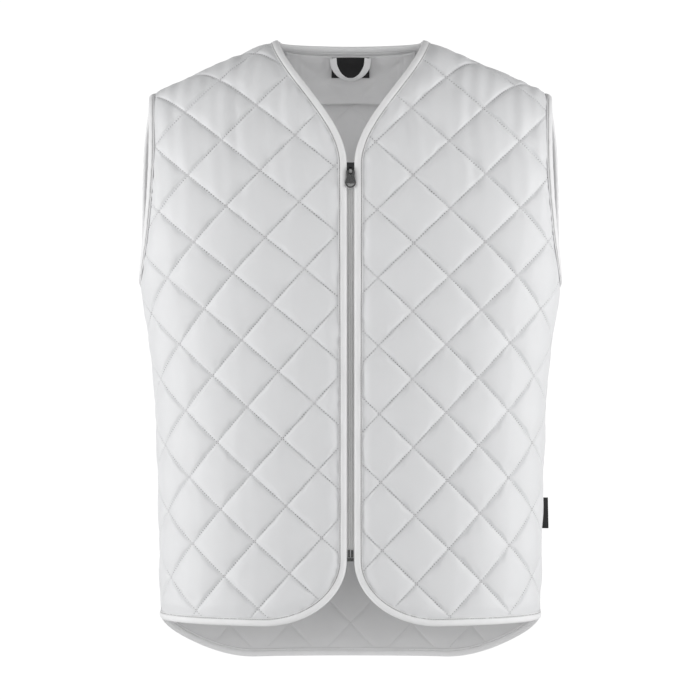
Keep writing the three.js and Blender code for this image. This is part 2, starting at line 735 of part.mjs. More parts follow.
const COLOURS = {
  cloth: { color: 0xeeeff1, roughness: 0.62, metalness: 0 },
  lining: { color: 0xe6e6e8, roughness: 0.7, metalness: 0 },
  tape: { color: 0xf4f4f6, roughness: 0.6, metalness: 0 },
  zip: { color: 0xb4b5b8, roughness: 0.7, metalness: 0 },
  teeth: { color: 0xc9cacc, roughness: 0.45, metalness: 0 },
  metal: { color: 0x55575b, roughness: 0.35, metalness: 1 },
  black: { color: 0x101012, roughness: 0.75, metalness: 0 },
};

const vest = new THREE.Group();
function addPiece(name, geometry, colour, parent = vest) {
  const mesh = new THREE.Mesh(geometry, new THREE.MeshStandardMaterial(COLOURS[colour]));
  mesh.name = name;
  parent.add(mesh);
  return mesh;
}

const leftFront = frontOutline();
const rightFront = mirrorFront(leftFront);
const back = backOutline();
const mirrorGeometry = (geometry) => {
  const flipped = geometry.scale(-1, 1, 1);
  flipped.setIndex([...flipped.index.array].reverse());
  return flipped;
};

addPiece("front_panel_right", quiltedPanel(rightFront, QUILTS.right), "cloth");
addPiece("front_panel_left", quiltedPanel(leftFront, QUILTS.left), "cloth");
addPiece("back_panel", quiltedPanel(back, QUILTS.back), "cloth");

const frontBinding = () =>
  bindingAlong(bindingStations(leftFront, leftFront.starts.neck, leftFront.starts.side));
addPiece("binding_front_right", mirrorGeometry(frontBinding()), "tape");
addPiece("binding_front_left", frontBinding(), "tape");
addPiece(
  "binding_back_neck",
  bindingAlong(bindingStations(back, back.starts.neck, back.starts.rightShoulder)),
  "tape",
);
addPiece(
  "binding_back_hem",
  bindingAlong(bindingStations(back, back.starts.tail, back.starts.leftSide)),
  "tape",
);
const armholeBinding = () =>
  bindingAround(
    bindingStations(leftFront, leftFront.starts.armhole, leftFront.starts.shoulder),
    bindingStations(back, back.starts.leftArmhole, back.starts.leftShoulder).reverse(),
  );
addPiece("binding_armhole_right", mirrorGeometry(armholeBinding()), "tape");
addPiece("binding_armhole_left", armholeBinding(), "tape");

for (const [name, turn] of [["right", -1], ["left", 1]]) {
  addPiece(`zip_tape_${name}`, zipBar(TAPE, turn), "zip");
  addPiece(`zip_coil_${name}`, zipBar(COIL, turn), "teeth");
  addPiece(`zip_pin_${name}`, zipBar(PIN, turn), "metal");
}
addPiece("zip_box", zipBar(BOX, 1), "metal");

const sliderFrame = new THREE.Group();
sliderFrame.position.set(0, zipLine(SLIDER.z), SLIDER.z);
const lean = (zipLine(SLIDER.z + 5) - zipLine(SLIDER.z - 5)) / 10;
sliderFrame.rotation.x = -Math.atan(lean);
vest.add(sliderFrame);
addPiece("zip_slider", sliderGeometry(), "metal", sliderFrame);
const puller = addPiece("zip_puller", pullerGeometry(), "metal", sliderFrame);
puller.position.set(0, PULLER.pivotDepth, PULLER.pivot);

const facingBottom = clothHeight(BACK, 0, FACING.bottom);
addPiece(
  "neck_facing",
  backSlab(FACING.halfWidth, underBackNeck, () => facingBottom, FACING.outer, FACING.inner, 12, 3),
  "lining",
);
const labelTop = underBackNeck(0) - BINDING_GAP;
addPiece(
  "neck_label",
  backSlab(LABEL.halfWidth, () => labelTop, () => labelTop - LABEL.height, LABEL.outer, LABEL.inner, 4, 3),
  "black",
);
addPiece("hanger_loop", hangerLoop(), "tape");

const tab = addPiece(
  "side_tab",
  new THREE.BoxGeometry(SIDE_TAB.width, SIDE_TAB.thickness, SIDE_TAB.height),
  "black",
);
tab.position.set(bodySize("halfWidth", SIDE_TAB.z) + SIDE_TAB.stand + SIDE_TAB.width / 2, 0, SIDE_TAB.z);
tab.rotation.y = THREE.MathUtils.degToRad(SIDE_TAB.tilt);

export default vest;
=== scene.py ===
# %% [markdown]
# # A quilted thermal vest
#
# The vest is a sleeveless shell of white cloth, quilted in squares that stand on a corner. Tape binds its
# edges, a zip closes the front, and the back ends in a tail that hangs below the front corners.
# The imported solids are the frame: they fix every size and place. This script dresses them, piece by piece,
# and rebuilds the soft ones, because a plain solid never looks like cloth.

# %% Load the frame
import math
from collections import namedtuple

import bmesh
import bpy
import numpy as np
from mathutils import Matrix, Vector, geometry


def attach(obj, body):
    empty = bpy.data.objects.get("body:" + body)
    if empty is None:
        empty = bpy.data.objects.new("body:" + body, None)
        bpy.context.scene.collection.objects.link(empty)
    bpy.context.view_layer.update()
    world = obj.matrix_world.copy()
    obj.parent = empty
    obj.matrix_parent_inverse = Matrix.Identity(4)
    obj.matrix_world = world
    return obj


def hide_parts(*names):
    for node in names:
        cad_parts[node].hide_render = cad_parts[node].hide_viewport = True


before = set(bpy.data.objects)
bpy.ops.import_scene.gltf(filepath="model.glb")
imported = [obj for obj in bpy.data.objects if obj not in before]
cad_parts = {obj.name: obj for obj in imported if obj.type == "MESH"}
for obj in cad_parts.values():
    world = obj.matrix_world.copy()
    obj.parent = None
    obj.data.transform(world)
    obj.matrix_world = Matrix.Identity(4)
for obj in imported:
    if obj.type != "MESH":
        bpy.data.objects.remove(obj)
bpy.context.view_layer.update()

MM = 0.001
scene = bpy.context.scene
print("nodes in the frame:", len(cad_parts))

# %% [markdown]
# ## Camera
#
# The photograph was taken from far away, level with the middle of the vest, so its lines hardly converge.
# A long lens says the same thing here. The focal length is kept in pixels of the picture, because that is
# what can be measured on a photograph, and Blender's lens length follows from it.

# %% Camera
PICTURE_PIXELS = 700
FOCAL_PIXELS = 2735
EYE = (-0.0006, -3.2, -0.36)

lens = bpy.data.cameras.new("photo_camera")
lens.lens = lens.sensor_width * FOCAL_PIXELS / PICTURE_PIXELS
camera = bpy.data.objects.new("photo_camera", lens)
camera.location = EYE
camera.rotation_euler = (math.pi / 2, 0, 0)
scene.collection.objects.link(camera)
scene.camera = camera
scene.view_settings.view_transform = "Standard"
print(f"lens {lens.lens:.1f} mm at {-EYE[1]:.1f} m")

# %% [markdown]
# ## Sums with shader sockets
#
# A material is a graph of nodes, and a long graph is hard to read as code. The class below wraps one output
# socket. Adding or multiplying two of them adds a Math node, so a pattern can be written as a formula.
# Every other node comes from its `node` method: the type, then its settings, then what goes on its sockets.

# %% A socket that takes part in sums


class Wire:
    """An output socket of a node tree, for use in Python expressions."""

    def __init__(self, tree, socket=None):
        self.tree = tree
        self.socket = socket

    def node(self, kind, settings=None, inputs=None, output=0):
        made = self.tree.nodes.new(kind)
        for name, setting in (settings or {}).items():
            setattr(made, name, setting)
        for name, given in (inputs or {}).items():
            if isinstance(given, Wire):
                self.tree.links.new(given.socket, made.inputs[name])
            else:
                made.inputs[name].default_value = given
        return Wire(self.tree, made.outputs[output])

    def math(self, operation, first, second=0.0):
        return self.node("ShaderNodeMath", {"operation": operation}, {0: first, 1: second})

    def __add__(self, other):
        return self.math("ADD", self, other)

    def __sub__(self, other):
        return self.math("SUBTRACT", self, other)

    def __rsub__(self, other):
        return self.math("SUBTRACT", other, self)

    def __mul__(self, other):
        return self.math("MULTIPLY", self, other)

    __radd__ = __add__
    __rmul__ = __mul__

    def noise(self, scale, detail=2.0):
        """Noise over the places that this wire gives."""
        return self.node("ShaderNodeTexNoise", {}, {"Vector": self, "Scale": scale, "Detail": detail})

    def ramp(self, low, high, start=0.0, end=1.0):
        """A straight change from start at low to end at high, level outside them."""
        limits = {"Value": self, "From Min": low, "From Max": high, "To Min": start, "To Max": end}
        return self.node("ShaderNodeMapRange", {}, limits)

    def between(self, first, second):
        """The colour between two colours at this value. Sockets 6 and 7 are the colour ones of a Mix."""
        ends = {0: self, 6: (*first, 1), 7: (*second, 1)}
        return self.node("ShaderNodeMix", {"data_type": "RGBA"}, ends, output=2)

    def part(self, axis):
        """One part of a vector: 0, 1 or 2."""
        return self.node("ShaderNodeSeparateXYZ", {}, {0: self}, output=axis)


print("shader sums are ready")

# %% [markdown]
# ## Light and floor
#
# The picture has a white background, a greyer middle and brighter sides: the light comes from a white room
# and from both sides. The world is that room: whitest behind the vest, bright in front of it, dimmer at the
# sides and overhead, and dimmest in the back corners. Two soft lights stand at the sides, level with the
# vest, and draw the edges of the quilting. The floor lies where a wearer would stand, far enough down to
# stay out of the picture.

# %% Light and floor
ROOM = {"backdrop": 1.06, "corners": 0.3, "sides": 0.55, "front": 0.98, "ceiling": 0.58}
FLOOR_DROP = 1.45
FLOOR_RADIUS = 4.6
SIDE_LIGHT = {"x": 1.9, "y": -0.45, "z": -0.36, "width": 0.7, "height": 1.0, "watts": 15.5}

world = bpy.data.worlds.new("white_room")
world.use_nodes = True
room = Wire(world.node_tree)
direction = room.node("ShaderNodeTexCoord")
in_front = direction.part(1).ramp(-0.8, -0.3, ROOM["front"] - ROOM["sides"], 0.0)
at_sides = direction.part(1).ramp(-0.3, 0.1, ROOM["sides"], ROOM["corners"])
backdrop = direction.part(1).ramp(0.55, 0.85, 0.0, ROOM["backdrop"] - ROOM["corners"])
from_above = direction.part(2).ramp(0.15, 0.7, 1.0, ROOM["ceiling"])
background = world.node_tree.nodes["Background"]
strength = (in_front + at_sides + backdrop) * from_above
world.node_tree.links.new(strength.socket, background.inputs["Strength"])
background.inputs["Color"].default_value = (1, 1, 1, 1)
scene.world = world

for turn in (-1, 1):
    panel_light = bpy.data.lights.new("side_light", "AREA")
    panel_light.shape = "RECTANGLE"
    panel_light.size = SIDE_LIGHT["width"]
    panel_light.size_y = SIDE_LIGHT["height"]
    panel_light.energy = SIDE_LIGHT["watts"]
    stand = bpy.data.objects.new("side_light", panel_light)
    stand.location = (turn * SIDE_LIGHT["x"], SIDE_LIGHT["y"], SIDE_LIGHT["z"])
    aim = Vector((0, 0, EYE[2])) - stand.location
    stand.rotation_euler = aim.to_track_quat("-Z", "Y").to_euler()
    scene.collection.objects.link(stand)

ground = bmesh.new()
bmesh.ops.create_circle(ground, cap_ends=True, segments=96, radius=FLOOR_RADIUS)
floor_mesh = bpy.data.meshes.new("floor")
ground.to_mesh(floor_mesh)
ground.free()
floor = bpy.data.objects.new("floor", floor_mesh)
floor.location.z = -FLOOR_DROP
scene.collection.objects.link(floor)
print(f"floor {FLOOR_DROP} m below the shoulders")

# %% [markdown]
# ## Finishes
#
# Each finish is one Principled shader. What is the same all over is set on the shader itself. What changes
# over the surface, such as the weave or a slight unevenness of colour, comes from textures.
# Cloth pieces carry a UV map in metres of flat cloth, so the weave keeps its real size and follows the cloth
# round every bend. Metal pieces have no such map and take their textures from plain object space.

# %% A helper for finishes


def finish(name, roughness, metallic=0.0, sheen=0.0, specular=0.5):
    """A material, its shader and a wire to build its textures with."""
    made = bpy.data.materials.new(name)
    made.use_nodes = True
    shader = made.node_tree.nodes["Principled BSDF"]
    shader.inputs["Roughness"].default_value = roughness
    shader.inputs["Metallic"].default_value = metallic
    shader.inputs["Sheen Weight"].default_value = sheen
    shader.inputs["Specular IOR Level"].default_value = specular
    return made, shader, Wire(made.node_tree)


def feed(shader, socket, wire):
    wire.tree.links.new(wire.socket, shader.inputs[socket])


def bumped(shader, height):
    """Feed a height in metres to the shader as bumps."""
    bump = height.node("ShaderNodeBump", {}, {"Height": height, "Distance": 1.0, "Strength": 1.0})
    feed(shader, "Normal", bump)


def plain_weave(place, thread):
    """Threads that pass over and under each other, one thread wide, as a height from 0 to 1."""
    turns = 2 * math.pi / (2 * thread)
    warp = place.part(0).math("SINE", place.part(0) * turns)
    weft = place.part(1).math("SINE", place.part(1) * turns)
    return 0.5 + 0.5 * (warp * weft)


# %% [markdown]
# ### Cloth and tape
#
# The lining is a white polyester that stays greyer inside the vest. The binding is a closer tape with a
# coarser weave, and its groove, where it is sewn down, takes a greyer copy of it as painted shade. The zip
# hangs on light woven tape, and the label and the tab are black. Their threads are finer than a pixel, so the
# weave is a low bump, and broad soft noise keeps each colour alive.

# %% Cloth and tape
Tint = namedtuple("Tint", "red green blue")
FUZZ = {"scale": 160.0, "detail": 4.0, "share": 1.6}
PATCH = {"scale": 22.0, "detail": 3.0, "low": 0.3, "high": 0.7, "dark": 0.96}


def cloth_bumps(place, thread, depth):
    """Weave and fuzz of a cloth as a height in metres. thread and depth are in millimetres."""
    fuzz = place.noise(FUZZ["scale"], FUZZ["detail"])
    return (plain_weave(place, thread * MM) + FUZZ["share"] * fuzz) * (depth * MM)


def patchy(place, start=0.0, end=1.0):
    """Broad soft patches of values between start and end."""
    return place.noise(PATCH["scale"], PATCH["detail"]).ramp(PATCH["low"], PATCH["high"], start, end)


def cloth_finish(name, tint, thread, weave_depth, roughness, sheen):
    """Woven cloth of one colour. thread and weave_depth are in millimetres."""
    made, shader, wire = finish(name, roughness, sheen=sheen)
    place = wire.node("ShaderNodeUVMap", {"uv_map": "flat"})
    feed(shader, "Base Color", patchy(place).between(np.multiply(tint, PATCH["dark"]), tint))
    bumped(shader, cloth_bumps(place, thread, weave_depth))
    return made


lining_cloth = cloth_finish("lining_cloth", Tint(0.82, 0.82, 0.825), 0.35, 0.06, 0.6, 0.1)
facing_cloth = cloth_finish("facing_cloth", Tint(0.81, 0.81, 0.815), 0.35, 0.08, 0.6, 0.1)
binding_tape = cloth_finish("binding_tape", Tint(0.945, 0.945, 0.95), 0.6, 0.1, 0.55, 0.15)
# A greyer copy of the binding tape, for painted shade in its sewn groove.
groove_painted_shade = cloth_finish("groove_painted_shade", Tint(0.64, 0.64, 0.64), 0.6, 0.1, 0.7, 0.1)
zip_cloth = cloth_finish("zip_cloth", Tint(0.96, 0.96, 0.955), 0.7, 0.12, 0.65, 0.1)
black_cloth = cloth_finish("black_cloth", Tint(0.012, 0.012, 0.013), 0.5, 0.1, 0.6, 0.05)
thread_cloth = cloth_finish("thread_cloth", Tint(0.82, 0.82, 0.83), 0.3, 0.05, 0.5, 0.1)
print("cloth finishes:", 7)

# %% [markdown]
# ### Quilted shell
#
# The shell is smooth white cloth with a faint blue cast. Each stitch pulls it into a dimple, and between two
# stitches the needle hole gets painted shade. The dimples are too small for the mesh, so the shader makes
# them: a second UV map counts millimetres along the two stitch directions, and a ping-pong of it gives the
# distance to the nearest stitch line and to the nearest hole.

# %% Quilted shell
QUILT_PITCH = 55.2
STITCHES_PER_SQUARE = 17
STITCH_PITCH = QUILT_PITCH / STITCHES_PER_SQUARE
DIMPLE = {"reach": 2.6, "depth": 0.45}
HOLE = {"width": 0.9, "length": 0.8, "core_width": 0.2, "core_length": 0.1, "shade": 0.75}
SHELL = {"thread": 0.35, "weave_depth": 0.06, "roughness": 0.5, "sheen": 0.12, "dark": 0.975}
UNEVEN = {"scale": 70.0, "low": 0.35, "high": 0.65, "least": 0.25}


def dimpled(line_run, stitch_run):
    """Dimples, and a mask of painted shade for the needle holes, along one stitch direction, both from 0 to
    1.
    """
    off_line = line_run.math("PINGPONG", line_run, QUILT_PITCH * MM / 2)
    off_hole = stitch_run.math("PINGPONG", stitch_run + STITCH_PITCH * MM / 2, STITCH_PITCH * MM / 2)
    between = off_hole.ramp(0.0, STITCH_PITCH * MM / 2)
    dimple = off_line.ramp(DIMPLE["reach"] * MM, 0.0) * between
    hole = off_line.ramp(HOLE["width"] * MM, HOLE["core_width"] * MM)
    return dimple, hole * off_hole.ramp(HOLE["length"] * MM, HOLE["core_length"] * MM)


def quilted_finish(name, tint):
    """Smooth cloth with a dimple at every stitch and painted shade in the needle hole between two stitches.
    """
    made, shader, wire = finish(name, SHELL["roughness"], sheen=SHELL["sheen"])
    place = wire.node("ShaderNodeUVMap", {"uv_map": "flat"})
    run = wire.node("ShaderNodeUVMap", {"uv_map": "quilt"})
    first, first_hole_shade = dimpled(run.part(0), run.part(1))
    second, second_hole_shade = dimpled(run.part(1), run.part(0))
    # Painted shade in the needle holes, faded at random; the patches are the cloth's own uneven tone.
    hole = first_hole_shade.math("MAXIMUM", first_hole_shade, second_hole_shade)
    uneven = place.noise(UNEVEN["scale"], 1.0).ramp(UNEVEN["low"], UNEVEN["high"], UNEVEN["least"], 1.0)
    shade = patchy(place, 1.0, SHELL["dark"]) * (1 - HOLE["shade"] * (hole * uneven))
    feed(shader, "Base Color", shade.between((0, 0, 0), tint))
    fine = cloth_bumps(place, SHELL["thread"], SHELL["weave_depth"])
    bumped(shader, fine - (first + second) * (DIMPLE["depth"] * MM))
    return made


shell_cloth = quilted_finish("shell_cloth", Tint(0.84, 0.845, 0.855))
print(f"stitches {STITCH_PITCH:.2f} mm apart")

# %% [markdown]
# ### Plastic teeth and dark metal
#
# The zip's coil is white nylon and looks grey in the shade between the bindings. The slider, its puller and
# the bottom end are dark plated metal, with a painted highlight in random spots where they stand out
# furthest towards the front, brighter on the slider. The floor is painted a plain matt white.

# %% Plastic teeth and dark metal
HIGHLIGHT_DEPTHS = (-0.1065, -0.1085)
BARE_METAL = (0.035, 0.036, 0.038)

nylon, nylon_shader, wire = finish("coil_nylon", 0.4, specular=0.4)
place = wire.node("ShaderNodeTexCoord", output=3)
mottled = place.noise(300.0).ramp(0.3, 0.7)
feed(nylon_shader, "Base Color", mottled.between((0.94, 0.94, 0.935), (0.98, 0.98, 0.97)))


def metal_finish(name, highlight_tone):
    """Dark metal with a painted highlight in random patches where it stands out furthest towards the front.
    """
    made, shader, wire = finish(name, 0.35, metallic=0.85)
    place = wire.node("ShaderNodeTexCoord", output=3)
    toward_front = place.part(1).ramp(*HIGHLIGHT_DEPTHS)
    # The front-most parts get a painted highlight, in random patches.
    painted_highlight = toward_front * place.noise(900.0, 4.0).ramp(0.25, 0.65)
    feed(shader, "Base Color", painted_highlight.between(BARE_METAL, (highlight_tone,) * 3))
    feed(shader, "Roughness", place.noise(1400.0, 3.0).ramp(0.3, 0.7, 0.28, 0.45))
    bumped(shader, place.noise(2500.0, 2.0) * (0.04 * MM))
    return made


# The two copies differ only in how bright their painted highlight is.
gunmetal_bright_highlight = metal_finish("gunmetal_bright_highlight", 0.45)
gunmetal_dim_highlight = metal_finish("gunmetal_dim_highlight", 0.12)

floor_paint, floor_shader, wire = finish("floor_paint", 0.7)
place = wire.node("ShaderNodeTexCoord", output=3)
feed(floor_shader, "Base Color", place.noise(1.5).between((0.86, 0.86, 0.86), (0.9, 0.9, 0.9)))
floor_mesh.materials.append(floor_paint)
print("hard finishes:", 4)

# %% [markdown]
# ## The shape of the body
#
# The whole vest is bent from flat cloth. A point of the cloth is (u, v): u goes round the body from the
# centre front or back to the side seam, and v goes up. Each level of the body is a rounded rectangle, and
# near the top the front and the back roll in to the shoulder ridge. The numbers are those of the solids, in
# millimetres, so whatever is built on this surface lands where its solid is.

# %% Body sections
Section = namedtuple("Section", "z half_width front_depth back_depth squareness")
SECTIONS = [
    Section(60, 244, 98, 96, 3.2),
    Section(-60, 248, 101, 102, 3.2),
    Section(-130, 249, 103, 106, 3.1),
    Section(-200, 248, 105, 107, 2.9),
    Section(-272, 244.5, 106, 107, 2.6),
    Section(-340, 235, 106, 105, 2.4),
    Section(-400, 228, 108, 104, 2.4),
    Section(-480, 224, 111, 105, 2.4),
    Section(-600, 221, 115, 110, 2.4),
    Section(-740, 218, 119, 116, 2.4),
]
QUARTER_GIRTH = 292
LEVELS = np.arange(-745, 66, 2.5)
SHARES = np.linspace(0, 1, 401)


def section_column(name, z):
    """A column of the section table at heights z, on a smooth curve through its rows."""
    heights = np.array([row.z for row in SECTIONS], float)
    values = np.array([getattr(row, name) for row in SECTIONS], float)
    count = len(heights)
    above = np.maximum(np.arange(count) - 1, 0)
    below = np.minimum(np.arange(count) + 1, count - 1)
    slopes = (values[below] - values[above]) / (heights[below] - heights[above])
    z = np.clip(z, heights[-1], heights[0])
    i = np.clip(np.searchsorted(-heights, -z, side="right") - 1, 0, count - 2)
    span = heights[i + 1] - heights[i]
    t = (z - heights[i]) / span
    rise = t * t * (3 - 2 * t)
    ease = t * (1 - t) * span
    return values[i] + (values[i + 1] - values[i]) * rise + ease * ((1 - t) * slopes[i] - t * slopes[i + 1])


print("half width at the chest:", section_column("half_width", np.array([-272.0]))[0], "mm")

# %% [markdown]
# ### Front and back halves
#
# Working out a section for every point would be slow, so each half keeps two tables, x and depth, by height
# and by share of the way to the side seam. NumPy then reads thousands of points at once.

# %% Front and back halves
NECK_HALF_WIDTH = 86
TIP_HALF_WIDTH = 233
SHOULDER_SLOPE = math.tan(math.radians(24.3))
RIDGE_ROUNDING = 40
RIDGE_LEVEL = -100
RIDGE_NECK_Y = 12
RIDGE_TIP_Y = 4
ROLL_HEIGHT = 240
ROLL_DEPTH = 100
ROLL_SQUARENESS = 3
PROBE = 2

QUARTER_TURN = np.linspace(0, math.pi / 2, 513)

roll_rise = np.sin(QUARTER_TURN) ** (2 / ROLL_SQUARENESS)
roll_depth = np.cos(QUARTER_TURN).clip(0) ** (2 / ROLL_SQUARENESS)
roll_steps = np.hypot(ROLL_HEIGHT * np.diff(roll_rise), ROLL_DEPTH * np.diff(roll_depth))
roll_length = np.concatenate([[0], np.cumsum(roll_steps)])


def level_place(z):
    """Heights counted in steps of the table's levels."""
    return (np.clip(z, LEVELS[0], LEVELS[-1]) - LEVELS[0]) / (LEVELS[1] - LEVELS[0])


class Half:
    """The front or the back of the body."""

    def __init__(self, facing, depth_name):
        self.facing = facing
        power = 2 / section_column("squareness", LEVELS)[:, None]
        x = section_column("half_width", LEVELS)[:, None] * np.sin(QUARTER_TURN) ** power
        y = section_column(depth_name, LEVELS)[:, None] * np.cos(QUARTER_TURN).clip(0) ** power
        steps = np.hypot(np.diff(x), np.diff(y))
        share = np.concatenate([np.zeros((len(LEVELS), 1)), np.cumsum(steps, axis=1)], axis=1)
        share /= share[:, -1:]
        self.x = np.array([np.interp(SHARES, s, row) for s, row in zip(share, x)])
        self.y = np.array([np.interp(SHARES, s, row) for s, row in zip(share, y)])
        ridge_x = self.level(self.x, RIDGE_LEVEL)
        crest = math.hypot(NECK_HALF_WIDTH, RIDGE_ROUNDING)
        self.ridge = SHOULDER_SLOPE * (crest - np.hypot(ridge_x, RIDGE_ROUNDING))

    def level(self, table, z):
        """One level of a table, by share."""
        place = level_place(z)
        i = min(int(place), len(LEVELS) - 2)
        return table[i] + (table[i + 1] - table[i]) * (place - i)

    def read(self, table, z, share):
        """Table values at many heights and shares."""
        down = level_place(z)
        i = np.minimum(down.astype(int), len(LEVELS) - 2)
        across = share * (len(SHARES) - 1)
        j = np.minimum(across.astype(int), len(SHARES) - 2)
        p, q = down - i, across - j
        upper = table[i, j] * (1 - q) + table[i, j + 1] * q
        lower = table[i + 1, j] * (1 - q) + table[i + 1, j + 1] * q
        return upper * (1 - p) + lower * p

    def surface(self, flat):
        """The middle of the cloth in space, for flat points (u, v)."""
        u, v = flat[..., 0], flat[..., 1]
        share = np.minimum(np.abs(u) / QUARTER_GIRTH, 1)
        foot = np.interp(share, SHARES, self.ridge) - ROLL_HEIGHT
        climbed = np.interp(v - foot, roll_length, roll_rise)
        left = np.interp(v - foot, roll_length, roll_depth)
        z = np.where(v > foot, foot + ROLL_HEIGHT * climbed, v)
        x = self.read(self.x, z, share)
        ridge_y = RIDGE_NECK_Y + (RIDGE_TIP_Y - RIDGE_NECK_Y) * x / TIP_HALF_WIDTH
        y = ridge_y + (self.facing * self.read(self.y, z, share) - ridge_y) * left
        return np.stack([np.sign(u) * x, y, z], axis=-1)

    def normal(self, flat):
        """Unit vectors out of the cloth, taken just below the ridge for points on it or past it."""
        share = np.minimum(np.abs(flat[..., 0]) / QUARTER_GIRTH, 1)
        top = np.interp(share, SHARES, self.ridge) - ROLL_HEIGHT + roll_length[-1] - PROBE
        flat = np.stack([flat[..., 0], np.minimum(flat[..., 1], top)], axis=-1)
        across = self.surface(flat + (PROBE, 0)) - self.surface(flat - (PROBE, 0))
        along = self.surface(flat + (0, PROBE)) - self.surface(flat - (0, PROBE))
        return -self.facing * unit(np.cross(across, along))

    def cloth(self, flat, outward):
        """Points at a distance outwards from the middle of the cloth."""
        flat = np.asarray(flat, float)
        return self.surface(flat) + self.normal(flat) * np.asarray(outward, float)[..., None]

    def height(self, share, z):
        """How far up the cloth a point at height z lies."""
        foot = np.interp(share, SHARES, self.ridge) - ROLL_HEIGHT
        rolled = foot + np.interp((z - foot) / ROLL_HEIGHT, roll_rise, roll_length)
        return np.where(z > foot, rolled, z)

    def flat_at(self, x, z):
        """Flat points that are seen from the front at (x, z)."""
        x, z = np.broadcast_arrays(np.asarray(x, float), np.asarray(z, float))
        share = np.array([np.interp(abs(a), self.level(self.x, b), SHARES) for a, b in zip(x, z)])
        return np.stack([np.sign(x) * share * QUARTER_GIRTH, self.height(share, z)], axis=-1)


def unit(vectors):
    return vectors / np.linalg.norm(vectors, axis=-1, keepdims=True)


front_half = Half(-1, "front_depth")
back_half = Half(1, "back_depth")
tip_height = np.interp(TIP_HALF_WIDTH, front_half.level(front_half.x, RIDGE_LEVEL), front_half.ridge)
print("shoulder tip height:", round(float(tip_height), 1), "mm")

# %% [markdown]
# ## Cutting the panels
#
# A panel's outline is a list of edges, each a curve on the flat cloth. Every edge is cut into steps of even
# length, which gives smooth rims and lets the binding follow the same points. The wearer's left front is cut
# here, and the right front is its mirror image. The back is one whole piece.

# %% Edges of the panels
ZIP_EDGE = 6.5
NECK_BOTTOM = -148
NECK_CURVE = [(NECK_HALF_WIDTH, 0), (77, -45), (8, -95), (ZIP_EDGE, NECK_BOTTOM)]
CORNER = {"x": 100, "top": -597, "bottom": -670}
SIDE_HEM = -670
BACK_NECK = 0
UNDERARM = -279
ARMHOLE = {"front": 66, "back": 44, "roundness": 2.4, "tip_power": 4}
TAIL = {"flat": 122, "drop": 58}
RIM_STEP = 3.0

along_edge = np.linspace(0, 1, 401)


def bezier(corners, t):
    a, b, c, d = (np.array(corner, float) for corner in corners)
    t = t[:, None]
    return a * (1 - t) ** 3 + 3 * b * t * (1 - t) ** 2 + 3 * c * t**2 * (1 - t) + d * t**3


def mix(start, end, t):
    return start + (end - start) * t


def armhole_edge(half, reach):
    """From the underarm to the shoulder tip."""
    tip_share = np.interp(TIP_HALF_WIDTH, half.level(half.x, RIDGE_LEVEL), SHARES)
    tip_z = np.interp(tip_share, SHARES, half.ridge)
    tip_reach = np.interp(tip_share, SHARES, half.level(half.y, tip_z))
    angle = along_edge * math.pi / 2
    climb = 1 - np.cos(angle).clip(0) ** (2 / ARMHOLE["roundness"])
    z = mix(UNDERARM, tip_z, climb)
    y = reach * np.sin(angle) ** (2 / ARMHOLE["roundness"])
    y += (tip_reach - reach) * climb ** ARMHOLE["tip_power"]
    share = np.array([np.interp(-a, -half.level(half.y, b), SHARES) for a, b in zip(y, z)])
    return np.stack([share * QUARTER_GIRTH, half.height(share, z)], axis=-1)


def shoulder_edge(half):
    """From the shoulder tip to the neck."""
    x = mix(TIP_HALF_WIDTH, NECK_HALF_WIDTH, along_edge)
    share = np.interp(x, half.level(half.x, RIDGE_LEVEL), SHARES)
    ridge = np.interp(share, SHARES, half.ridge)
    return np.stack([share * QUARTER_GIRTH, half.height(share, ridge)], axis=-1)


def side_edge():
    v = mix(SIDE_HEM, UNDERARM, along_edge)
    return np.stack([np.full_like(v, QUARTER_GIRTH), v], axis=-1)


def run_along(points):
    """Length along a line of points, from the first point to each."""
    return np.concatenate([[0], np.cumsum(np.linalg.norm(np.diff(points, axis=0), axis=1))])


def at_places(curve, lengths, places):
    """Points of a curve at places along its length."""
    return np.stack([np.interp(places, lengths, column) for column in curve.T], axis=-1)


def stepped(curve):
    """Points of a curve at even steps, from its start up to, but not at, its end."""
    lengths = run_along(curve)
    count = max(2, round(lengths[-1] / RIM_STEP))
    return at_places(curve, lengths, np.arange(count) * lengths[-1] / count)


neck = bezier(NECK_CURVE, along_edge)
corner_angle = along_edge * math.pi / 2
corner_x = CORNER["x"] - (CORNER["x"] - ZIP_EDGE) * np.cos(corner_angle)
corner_z = CORNER["top"] - (CORNER["top"] - CORNER["bottom"]) * np.sin(corner_angle)
corner_share = np.interp(CORNER["x"], front_half.level(front_half.x, CORNER["bottom"]), SHARES)
hem_u = mix(corner_share, 1, along_edge) * QUARTER_GIRTH
left_front = {
    "neck": front_half.flat_at(neck[:, 0], neck[:, 1]),
    "zip": front_half.flat_at(ZIP_EDGE, mix(NECK_BOTTOM, CORNER["top"], along_edge)),
    "corner": front_half.flat_at(corner_x, corner_z),
    "hem": np.stack([hem_u, mix(CORNER["bottom"], SIDE_HEM, along_edge**2)], axis=-1),
    "side": side_edge(),
    "armhole": armhole_edge(front_half, ARMHOLE["front"]),
    "shoulder": shoulder_edge(front_half),
}

tail_u = mix(-QUARTER_GIRTH, QUARTER_GIRTH, along_edge)
beside_tail = ((np.abs(tail_u) - TAIL["flat"]) / (QUARTER_GIRTH - TAIL["flat"])).clip(0, 1)
tail_v = SIDE_HEM - TAIL["drop"] * (1 - beside_tail * beside_tail * (2 - beside_tail))
left_back = {
    "side": side_edge(),
    "armhole": armhole_edge(back_half, ARMHOLE["back"]),
    "shoulder": shoulder_edge(back_half),
}
right_back = {name: edge[::-1] * (-1, 1) for name, edge in left_back.items()}
back = {
    "neck": back_half.flat_at(mix(NECK_HALF_WIDTH, -NECK_HALF_WIDTH, along_edge), BACK_NECK),
    "right_shoulder": right_back["shoulder"],
    "right_armhole": right_back["armhole"],
    "right_side": right_back["side"],
    "tail": np.stack([tail_u, tail_v], axis=-1),
    "left_side": left_back["side"],
    "left_armhole": left_back["armhole"],
    "left_shoulder": left_back["shoulder"],
}


